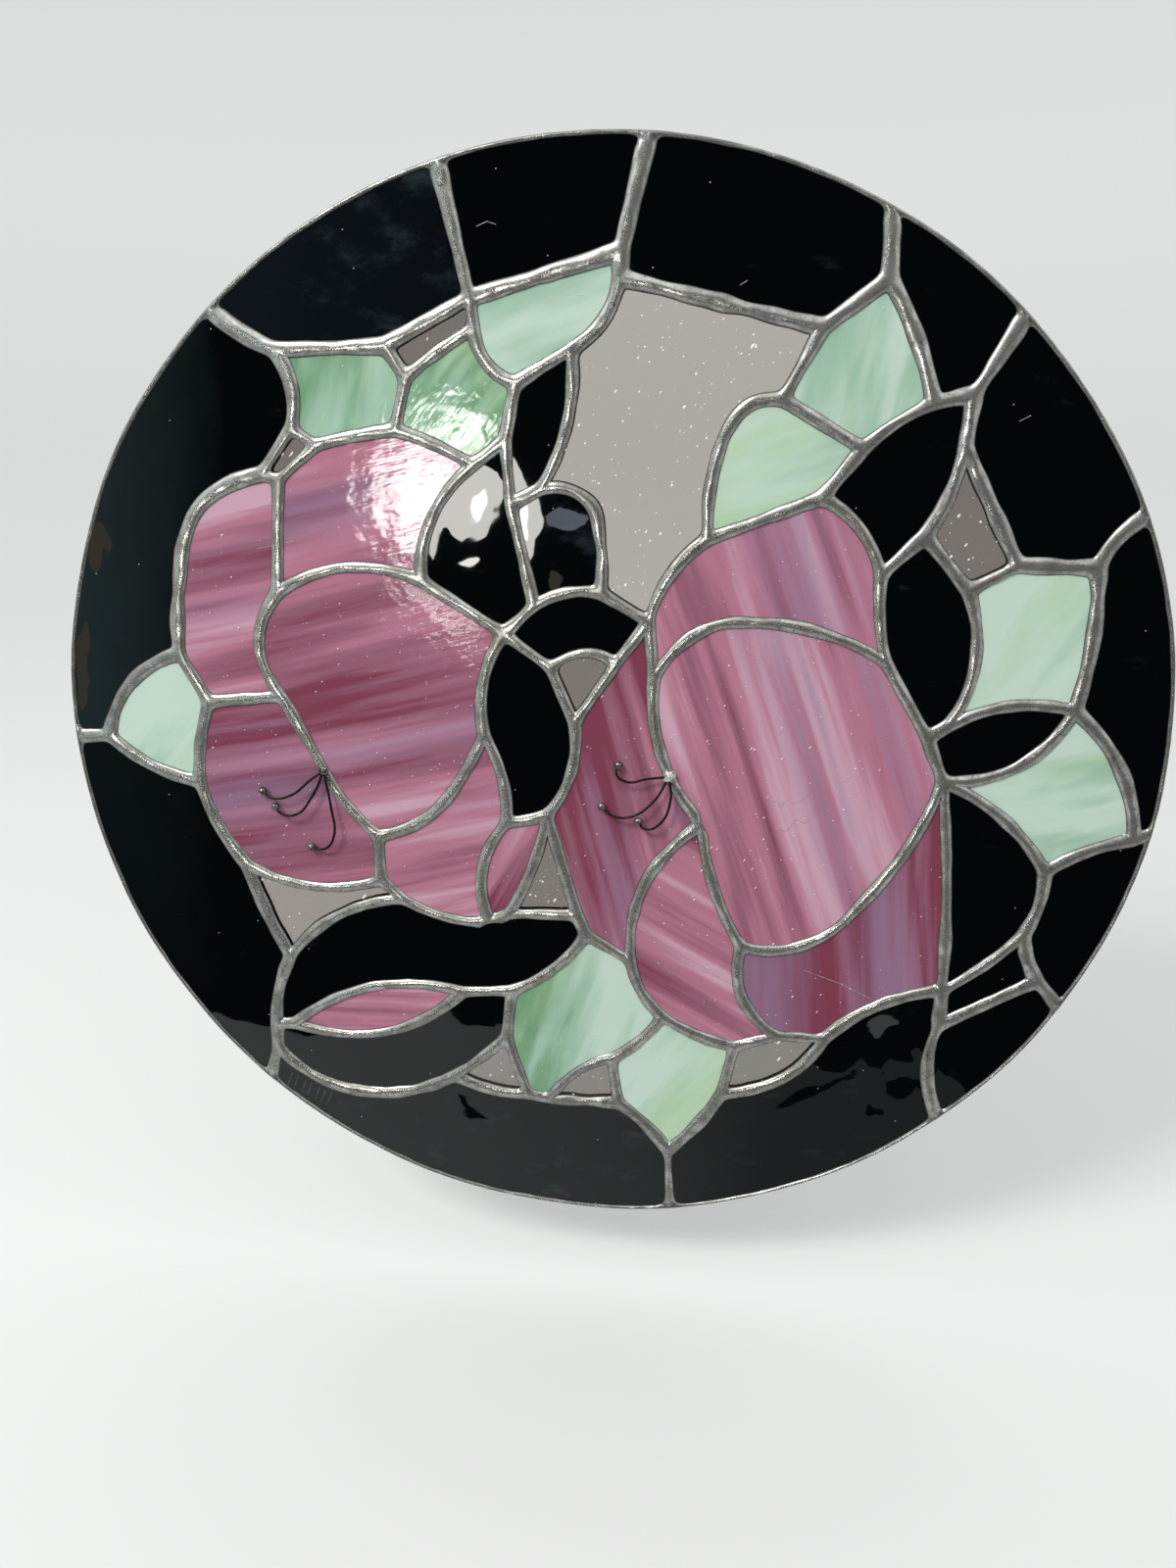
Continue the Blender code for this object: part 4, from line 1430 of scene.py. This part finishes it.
class PANEL_OT_black_glass(bpy.types.Operator):
    """Cut the border and the dark pieces from black glass"""

    bl_idname = "panel.black_glass"
    bl_label = "Cut black glass"

    def execute(self, context):
        material = black_material(context.scene.panel_glass)
        lay_glass(context, BLACK_CUTS, material)
        return {"FINISHED"}


class PANEL_OT_clear_glass(bpy.types.Operator):
    """Cut the background from clear glass and scatter seeds of air in it"""

    bl_idname = "panel.clear_glass"
    bl_label = "Cut clear glass"

    def execute(self, context):
        settings = context.scene.panel_glass
        # The shaded and darkest shaded tints are painted shade on the small panes
        for name, cuts, tint in (
            ("clear_seedy_glass", CLEAR_CUTS, settings.clear),
            ("shaded_seedy_glass", SHADED_CUTS, settings.shaded_clear),
            ("smoky_seedy_glass", DARKEST_SHADED_CUTS, settings.darkest_shaded_clear),
        ):
            lay_glass(context, cuts, clear_material(name, tint))
        # The seeds' white colour and faint glow are painted glints: they shine without a lamp
        air = mottled_material("glinting_seed", (0.92, 0.92, 0.90), (0.55, 0.55, 0.53), 900,
                               Roughness=0.12, Emission_Color=(1, 1, 1, 1), Emission_Strength=0.2)
        scatter((*CLEAR_CUTS, *SHADED_CUTS, *DARKEST_SHADED_CUTS), "seeds_in_clear_glass",
                settings.seeds_per_area, settings.seed_size, air, 11)
        return {"FINISHED"}


class PANEL_OT_specks(bpy.types.Operator):
    """Scatter bright specks over the streaky glass"""

    bl_idname = "panel.specks"
    bl_label = "Scatter specks"

    def execute(self, context):
        settings = context.scene.panel_glass
        # The specks' white colour stands partly for dust and partly for painted glints
        white = mottled_material("bright_speck", (0.90, 0.87, 0.87), (0.60, 0.52, 0.54), 900,
                                 Roughness=0.2)
        scatter(PINK_CUTS, "specks_on_pink_glass", settings.specks_per_area,
                settings.seed_size * 0.65, white, 21)
        scatter(GREEN_CUTS, "specks_on_green_glass", settings.specks_per_area / 3,
                settings.seed_size * 0.5, white, 31)
        return {"FINISHED"}


# Fine marks on the glass as lines of pixels: three groups of shallow strokes at the
# lower left of the border, then a crease and a scuff in petals and light scratches
STROKES = tuple(((x, y), (x - 5, y + 13)) for x, y in (
    (299, 1094), (305, 1097), (313, 1101), (319, 1104), (327, 1108), (333, 1111), (339, 1114),
))
SCRATCHES = (
    ((650, 945), (680, 968), (712, 988), (745, 1003)), ((820, 990), (858, 1004), (890, 1020)),
    ((785, 820), (792, 817), (797, 823), (804, 814), (810, 821), (819, 815), (827, 811),
     (832, 821), (829, 833), (821, 840), (812, 836), (803, 848), (790, 846)),
    ((486, 231), (497, 226), (506, 229)), ((755, 291), (763, 286)),
    ((262, 560), (300, 552)), ((1040, 430), (1052, 424)),
)


class PANEL_OT_marks(bpy.types.Operator):
    """Engrave a few plain strokes in the border and scratch the glass lightly"""

    bl_idname = "panel.marks"
    bl_label = "Mark glass"

    def execute(self, context):
        settings = context.scene.panel_glass
        frosted = mottled_material("frosted_mark", (0.070, 0.080, 0.080), (0.035, 0.042, 0.042),
                                   1400, Roughness=0.7)
        scuffed = mottled_material("scuffed_mark", (0.52, 0.40, 0.44), (0.36, 0.24, 0.28), 1400,
                                   Roughness=0.6)
        tree = shared_tree("marks_on_glass", marks_tree)
        lift = Vector((0, settings.mark_lift, 0))
        for name, lines, width, material, slot in (
            ("engraved_strokes", STROKES, settings.stroke, frosted, "black_glass"),
            ("light_scratches", SCRATCHES, settings.scratch, scuffed, "pink_glass"),
        ):
            routes = [[at_pixel(pixel) - lift for pixel in pixels] for pixels in lines]
            marks = grow(place_lines(name, routes), tree, Width=width,
                         Thickness=settings.mark_lift, Material=material)
            finish_piece(marks)
        return {"FINISHED"}


# The drop of solder at the wires' foot: its width, depth and height as shares of its
# size, how uneven it is, and how much smaller the left one is
DROP_SHAPE = Vector((0.9, 0.5, 1.0))
DROP_LUMPS = 0.6
LEFT_DROP = 0.75


def add_foot(mesh, middle, diameter, material):
    """A flat, uneven drop of solder where the wires stand on a bead."""
    if material.name not in mesh.materials:
        mesh.materials.append(material)
    shape = bmesh.new()
    shape.from_mesh(mesh)
    drop = bmesh.ops.create_uvsphere(shape, u_segments=28, v_segments=18, radius=diameter / 2)
    for vertex in drop["verts"]:
        lump = 1 + DROP_LUMPS * noise.noise(vertex.co / diameter * 3.4 + middle * 90)
        vertex.co = middle + vertex.co * Vector((lump, 1, lump)) * DROP_SHAPE
    for face in {face for vertex in drop["verts"] for face in vertex.link_faces}:
        face.material_index = mesh.materials.find(material.name)
    shape.to_mesh(mesh)
    shape.free()


class PANEL_OT_stamens(bpy.types.Operator):
    """Bend the wire stamens and melt balls of solder onto their ends"""

    bl_idname = "panel.stamens"
    bl_label = "Bend stamens"

    def execute(self, context):
        settings = context.scene.panel_stamens
        solder = context.scene.panel_solder
        wire = mottled_material("dark_wire", settings.colour, WIRE_SHADE, 900,
                                Metallic=0.9, Roughness=0.42)
        ball = mottled_material("ball_solder", solder.dull, BALL_SHADE, 620,
                                Metallic=0.9, Roughness=0.24)
        bright = mottled_material("bright_solder", BRIGHT_SOLDER, solder.dull, 620,
                                  Metallic=0.5, Roughness=0.30)
        tree = shared_tree("stamen_wires", stamen_tree)
        foot_depth = GLASS_FACE + BEAD_HEIGHT + settings.gap + settings.wire / 2
        ball_depth = GLASS_FACE + settings.gap + settings.ball / 2
        for node, wires in STAMENS.items():
            routes = []
            for pixels in wires:
                shares = [i / (len(pixels) - 1) for i in range(len(pixels))]
                depths = [foot_depth + (ball_depth - foot_depth) * share
                          + settings.lift * math.sin(math.pi * share) for share in shares]
                routes.append([at_pixel(pixel, -depth) for pixel, depth in zip(pixels, depths)])
            made = grow(place_bends(node + "_wires", routes), tree,
                        Wire_Diameter=settings.wire, Ball_Diameter=settings.ball,
                        Wire_Material=wire, Ball_Material=ball)
            size, metal = (LEFT_DROP, ball) if node == "left_stamens" else (1.0, bright)
            add_foot(made.data, at_pixel(wires[0][0], -foot_depth), settings.foot * size, metal)
            made.data.shade_smooth()
            finish_piece(made, [node])
        return {"FINISHED"}


# The studio: its rounded corner as a share of its radius, the flat floor's rings, and
# the steps up the corner, up the dome and all round
COVE_SHARE = 0.35
FLOOR_RINGS = (0.0, 0.25, 0.6)
COVE_STEPS = 12
DOME_STEPS = 18
ROUND_STEPS = 64


def stage_shell(settings):
    """A round floor that sweeps up into a dome, all one smooth surface."""
    floor = NET_LOW.z - settings.floor_drop
    reach = settings.reach
    cove = reach * COVE_SHARE
    outline = [(ring, floor) for ring in (*FLOOR_RINGS, reach - cove)]
    for k in range(1, COVE_STEPS + 1):
        angle = math.radians(90 * k / COVE_STEPS)
        outline.append((reach - cove + cove * math.sin(angle), floor + cove - cove * math.cos(angle)))
    for k in range(1, DOME_STEPS + 1):
        angle = math.radians(90 * k / DOME_STEPS)
        outline.append((reach * math.cos(angle), floor + cove + reach * math.sin(angle)))
    shape = bmesh.new()
    chain = [shape.verts.new((r, 0, z)) for r, z in outline]
    edges = [shape.edges.new(pair) for pair in zip(chain, chain[1:])]
    bmesh.ops.spin(shape, geom=[*chain, *edges], cent=PANEL_MIDDLE, axis=(0, 0, 1),
                   angle=math.tau, steps=ROUND_STEPS, use_merge=True)
    bmesh.ops.remove_doubles(shape, verts=shape.verts, dist=SAME_PLACE)
    bmesh.ops.recalc_face_normals(shape, faces=shape.faces)
    bmesh.ops.reverse_faces(shape, faces=shape.faces)
    mesh = bpy.data.meshes.new("studio_shell")
    shape.to_mesh(mesh)
    shape.free()
    mesh.shade_smooth()
    return place_object("studio_shell", mesh)


def hide_from(thing, *rays):
    for ray in rays:
        setattr(thing, "visible_" + ray, False)


def mirrored(pixel, depth):
    """The place on a plane before the panel that the flat glass mirrors at a pixel."""
    spot = at_pixel(pixel)
    ray = sight(pixel)
    return spot + Vector((ray.x, -ray.y, ray.z)) * ((depth + spot.y) / ray.y)


def mirror_card(name, depth, outlines, colour, strength):
    """Cards that only gloss can see, drawn by the pixels at which the glass mirrors them.

    Each outline's corner is a pixel and a share of the strength there."""
    vertices, faces, levels = [], [], []
    for outline in outlines:
        start = len(vertices)
        vertices += [mirrored(pixel, depth) for pixel, _ in outline]
        levels += [level for _, level in outline]
        faces.append(tuple(range(start, len(vertices))))
    mesh = new_mesh(name, vertices, faces)
    add_values(mesh, "level", levels)
    material = bpy.data.materials.new(name)
    material.use_nodes = True
    tree = material.node_tree
    tree.nodes.clear()
    glow = add_node(tree, "ShaderNodeEmission", {
        "Color": (*colour, 1), "Strength": times(tree, attribute(tree, "level"), strength)})
    add_node(tree, "ShaderNodeOutputMaterial", {"Surface": glow.outputs[0]})
    mesh.materials.append(material)
    card = place_object(name, mesh)
    hide_from(card, "camera", "diffuse", "transmission", "volume_scatter", "shadow")


# Corners of a blob and how uneven its outline is
BLOB_CORNERS = 18
BLOB_LUMPS = 0.55


def blob(pixel, size, tilt=0.0):
    """An uneven round outline about a pixel, evenly bright and turned clockwise by degrees."""
    outline = []
    turn = math.radians(tilt)
    for k in range(BLOB_CORNERS):
        angle = math.tau * k / BLOB_CORNERS
        around = Vector((math.cos(angle), math.sin(angle), pixel[0] * 0.01))
        reach = 1 + BLOB_LUMPS * noise.noise(around)
        along, over = size[0] * reach * math.cos(angle), size[1] * reach * math.sin(angle)
        spot = (pixel[0] + along * math.cos(turn) - over * math.sin(turn),
                pixel[1] + along * math.sin(turn) + over * math.cos(turn))
        outline.append((spot, 1.0))
    return outline


def blobs(marks):
    return [blob(*mark) for mark in marks]


# What the glass mirrors, by pixels, each corner with its level: the dim room before it
# with its ragged lower edge, the side that gets brighter to the left, and a dim patch
DIM_FRONT = tuple((pixel, 1.0) for pixel in (
    (230, -60), (1500, -60), (1500, 1010), (1180, 1050), (1012, 1095), (991, 1105), (970, 1103),
    (956, 1090), (948, 1130), (938, 1126), (944, 1117), (932, 1107), (920, 1121), (903, 1119),
    (904, 1107), (919, 1100), (938, 1098), (942, 1084), (936, 1068), (930, 1074), (934, 1084),
    (911, 1084), (902, 1095), (889, 1092), (881, 1081), (866, 1093), (838, 1094), (826, 1088),
    (810, 1062), (640, 1075), (460, 1040), (300, 1050), (230, 1040),
))
DIM_LEFT = (
    (((-120, -60), 1.3), ((100, -60), 0.8), ((100, 745), 0.8), ((-120, 745), 1.3)),
    (((100, -60), 0.8), ((230, -60), 0.02), ((230, 745), 0.02), ((100, 745), 0.8)),
    (((-120, 745), 0.5), ((100, 745), 0.22), ((100, 1040), 0.08), ((-120, 1040), 0.3)),
    (((100, 745), 0.22), ((230, 745), 0.02), ((230, 1040), 0.02), ((100, 1040), 0.08)),
)
DIM_UPPER_LEFT = (
    ((190, 120), 0.22), ((434, 120), 0.09), ((480, 335), 0.09), ((330, 352), 0.14),
    ((275, 352), 0.18), ((200, 302), 0.22),
)
# The pale ground at the bottom, darker to the right
LOW_FRONT = (
    (((100, 960), 0.84), ((420, 960), 0.72), ((420, 1320), 0.72), ((100, 1320), 0.84)),
    (((420, 960), 0.72), ((660, 960), 0.52), ((660, 1320), 0.52), ((420, 1320), 0.72)),
    (((660, 960), 0.52), ((780, 960), 0.30), ((780, 1320), 0.26), ((660, 1320), 0.52)),
    (((780, 960), 0.30), ((1300, 960), 0.26), ((1300, 1320), 0.22), ((780, 1320), 0.26)),
)
# Smaller marks, each as a middle, a size and a tilt
DIM_MARKS = (
    ((480, 1131), (18, 4), 38), ((833, 1113), (44, 4), -21), ((892, 1133), (7, 6), 0),
    ((150, 1010), (30, 5), 0),
)
PALE_MARKS = (((901, 1046), (17, 9), -8),)
BROWN_MARKS = (((98, 558), (12, 24)), ((86, 676), (9, 46)), ((568, 592), (9, 12)))
HAZY_MARKS = (((580, 531), (19, 11), 8),)
# The bright gap on black glass, by its corners left and right of a seam, and its
# brightest parts as a middle, a size and a tilt
GAP_LEFT = (
    (492, 472), (508, 484), (512, 502), (505, 524), (492, 545), (474, 554), (463, 547), (459, 538),
    (453, 540), (449, 552), (444, 571), (441, 563), (443, 527), (454, 505), (472, 482),
)
GAP_RIGHT = (
    (523, 462), (530, 470), (539, 491), (551, 506), (557, 534), (550, 556), (539, 579), (531, 560),
    (523, 534), (520, 516), (521, 495),
)
BRIGHT_CORES = (((488, 518), (7, 17), 18), ((537, 532), (6, 18), 0))
GAP_LEVEL = 0.8
# The same gap on the rougher pink and green glass, as corners with their levels, and
# smaller glints beside it as a middle, a size and a tilt
GAP_ON_PETAL = (
    ((406, 455), 1.2), ((440, 460), 1.7), ((472, 472), 1.7), ((466, 498), 1.7), ((446, 527), 1.7),
    ((434, 556), 1.6), ((427, 584), 1.4), ((412, 568), 1.1), ((396, 549), 1.0), ((376, 528), 0.8),
    ((372, 496), 0.8), ((382, 470), 0.9),
)
GAP_ON_LEAF = (
    ((408, 440), 0.9), ((436, 428), 1.0), ((478, 414), 1.0), ((510, 430), 1.4), ((502, 464), 1.6),
    ((476, 466), 1.5), ((442, 454), 1.3),
)
GLINTS = (((438, 612), (46, 6), 30), ((480, 640), (17, 5), -10), ((476, 576), (8, 4), -15))
# How far before the panel these things stand: nearer ones hide those behind them
GROUND_AWAY = 2.2
DIM_AWAY = 2.0
MARKS_AWAY = 1.9
GAP_AWAY = 1.2
CORES_AWAY = 1.18
# Their colours, and the dim room's brightness
DIM_BLUE = (0.6, 0.85, 1.0)
SIDE_BLUE = (0.6, 0.95, 1.0)
PATCH_BLUE = (0.5, 0.75, 1.0)
HAZY_BLUE = (0.75, 0.84, 1.0)
EARTH_BROWN = (0.9, 0.8, 0.62)
PLAIN_WHITE = (1.0, 1.0, 1.0)
WARM_WHITE = (1.0, 0.98, 0.92)
DIM_LEVEL = 0.012


def mirrored_things(settings):
    """Each card's name, distance before the panel, outlines, colour and brightness."""
    glare = settings.glare
    gaps = [tuple((pixel, GAP_LEVEL) for pixel in gap) for gap in (GAP_LEFT, GAP_RIGHT)]
    return (
        ("dim_front", DIM_AWAY, [DIM_FRONT], DIM_BLUE, DIM_LEVEL),
        ("dim_marks", DIM_AWAY, blobs(DIM_MARKS), DIM_BLUE, DIM_LEVEL),
        ("dim_left", DIM_AWAY, DIM_LEFT, SIDE_BLUE, 0.55),
        ("dim_upper_left", MARKS_AWAY, [DIM_UPPER_LEFT], PATCH_BLUE, 1.0),
        ("low_front", GROUND_AWAY, LOW_FRONT, settings.tint, settings.sky),
        ("pale_marks", MARKS_AWAY, blobs(PALE_MARKS), PLAIN_WHITE, 0.9),
        ("brown_marks", MARKS_AWAY, blobs(BROWN_MARKS), EARTH_BROWN, 0.8),
        ("hazy_marks", MARKS_AWAY, blobs(HAZY_MARKS), HAZY_BLUE, 2.6),
        ("bright_gaps", GAP_AWAY, [*gaps, GAP_ON_PETAL, GAP_ON_LEAF], WARM_WHITE, glare),
        ("bright_cores", CORES_AWAY, blobs(BRIGHT_CORES), WARM_WHITE, glare * 1.6),
        ("glints", CORES_AWAY, blobs(GLINTS), WARM_WHITE, glare * 1.15),
    )


# The key light's place from the panel's middle, its width and its height
KEY_PLACE = Vector((-0.8, -1.1, 1.25))
KEY_SIZE = (0.5, 0.4)
# How much deeper the paint is on the floor, and the height over which that fades
FLOOR_SHARE = 0.68
FADE_HEIGHT = 1.1
# Brightness of the soft light, from straight below at 0 to straight above at 1
SKY_LEVELS = ((0.0, 0.42), (0.48, 0.42), (0.62, 0.66), (0.8, 0.95), (1.0, 1.0))


class PANEL_OT_stage(bpy.types.Operator):
    """Set the pale studio, its soft light and the camera"""

    bl_idname = "panel.stage"
    bl_label = "Set stage"

    def execute(self, context):
        scene = context.scene
        settings = scene.panel_stage
        shell = stage_shell(settings)
        shell.data.materials.append(self.paint(settings))
        hide_from(shell, "diffuse", "glossy", "volume_scatter", "shadow")
        scene.world = self.sky(settings)
        self.key_light(settings)
        for card in mirrored_things(settings):
            mirror_card(*card)
        scene.camera = self.camera()
        scene.view_settings.view_transform = "Standard"
        return {"FINISHED"}

    def paint(self, settings):
        """Matt paint, a little deeper on the floor than higher up."""
        material, tree, shader = new_material(
            "studio_paint", Roughness=0.9, Specular_IOR_Level=0.1,
            Emission_Color=(1, 1, 0.99, 1), Emission_Strength=0.14)
        height = add_node(tree, "ShaderNodeSeparateXYZ", {0: coordinates(tree)}).outputs[2]
        height = math_node(tree, "SUBTRACT", height, NET_LOW.z)
        rise = math_node(tree, "DIVIDE", height, FADE_HEIGHT, clamp=True)
        deep = [channel * FLOOR_SHARE for channel in settings.colour]
        colour = colour_ramp(tree, rise, ((0.0, deep), (1.0, settings.colour)))
        tree.links.new(colour, shader.inputs["Base Color"])
        return material

    def sky(self, settings):
        """Soft light from all round, strongest from above."""
        world = bpy.data.worlds.new("soft_sky")
        world.use_nodes = True
        tree = world.node_tree
        tree.nodes.clear()
        toward = add_node(tree, "ShaderNodeTexCoord").outputs["Generated"]
        height = add_node(tree, "ShaderNodeSeparateXYZ", {0: toward}).outputs[2]
        height = plus(tree, times(tree, height, 0.5), 0.5)
        level = colour_ramp(tree, height, SKY_LEVELS, "LINEAR")
        tinted = mix_colours(tree, 1.0, level, settings.tint, "MULTIPLY")
        light = add_node(tree, "ShaderNodeBackground", {"Color": tinted, "Strength": settings.sky})
        add_node(tree, "ShaderNodeOutputWorld", {"Surface": light.outputs[0]})
        return world

    def key_light(self, settings):
        """A soft lamp at the upper left, turned to the panel's middle."""
        lamp = bpy.data.lights.new("key_softbox", "AREA")
        lamp.shape = "RECTANGLE"
        lamp.size, lamp.size_y = KEY_SIZE
        lamp.energy = settings.key_power
        key = place_object("key_softbox", lamp)
        key.location = PANEL_MIDDLE + KEY_PLACE
        key.rotation_euler = (-KEY_PLACE).to_track_quat("-Z", "Y").to_euler()

    def camera(self):
        """The photograph's own camera."""
        lens = bpy.data.cameras.new("photo_camera")
        lens.sensor_width = SENSOR
        lens.lens = SENSOR * LENS_PIXELS / max(PHOTO_SIZE)
        camera = place_object("photo_camera", lens)
        camera.location = to_eye()
        camera.rotation_euler = (math.pi / 2 - LOOK_DOWN, 0, LOOK_LEFT)
        return camera


class PANEL_PT_sidebar(bpy.types.Panel):
    """The panel's settings and steps"""

    bl_idname = "PANEL_PT_sidebar"
    bl_label = "Stained glass panel"
    bl_space_type = "VIEW_3D"
    bl_region_type = "UI"
    bl_category = "Panel"

    def draw(self, context):
        for group, steps in SIDEBAR:
            box = self.layout.box()
            settings = getattr(context.scene, group)
            for name in settings.__annotations__:
                box.prop(settings, name)
            for step in steps:
                box.operator(step)


SETTINGS = {
    "panel_solder": SolderSettings,
    "panel_glass": GlassSettings,
    "panel_stamens": StamenSettings,
    "panel_stage": StageSettings,
}
SIDEBAR = (
    ("panel_solder", ("panel.solder",)),
    ("panel_glass", ("panel.pink_glass", "panel.green_glass", "panel.black_glass",
                     "panel.clear_glass", "panel.specks", "panel.marks")),
    ("panel_stamens", ("panel.stamens",)),
    ("panel_stage", ("panel.stage",)),
)
CLASSES = (
    *SETTINGS.values(), PANEL_OT_solder, PANEL_OT_pink_glass, PANEL_OT_green_glass,
    PANEL_OT_black_glass, PANEL_OT_clear_glass, PANEL_OT_specks, PANEL_OT_marks,
    PANEL_OT_stamens, PANEL_OT_stage, PANEL_PT_sidebar,
)


def register():
    for kind in CLASSES:
        bpy.utils.register_class(kind)
    for name, kind in SETTINGS.items():
        setattr(bpy.types.Scene, name, bpy.props.PointerProperty(type=kind))


def unregister():
    for name in SETTINGS:
        delattr(bpy.types.Scene, name)
    for kind in reversed(CLASSES):
        bpy.utils.unregister_class(kind)


def main():
    register()
    bpy.ops.panel.solder()
    bpy.ops.panel.pink_glass()
    bpy.ops.panel.green_glass()
    bpy.ops.panel.black_glass()
    bpy.ops.panel.clear_glass()
    bpy.ops.panel.specks()
    bpy.ops.panel.marks()
    bpy.ops.panel.stamens()
    bpy.ops.panel.stage()


if __name__ == "__main__":
    main()
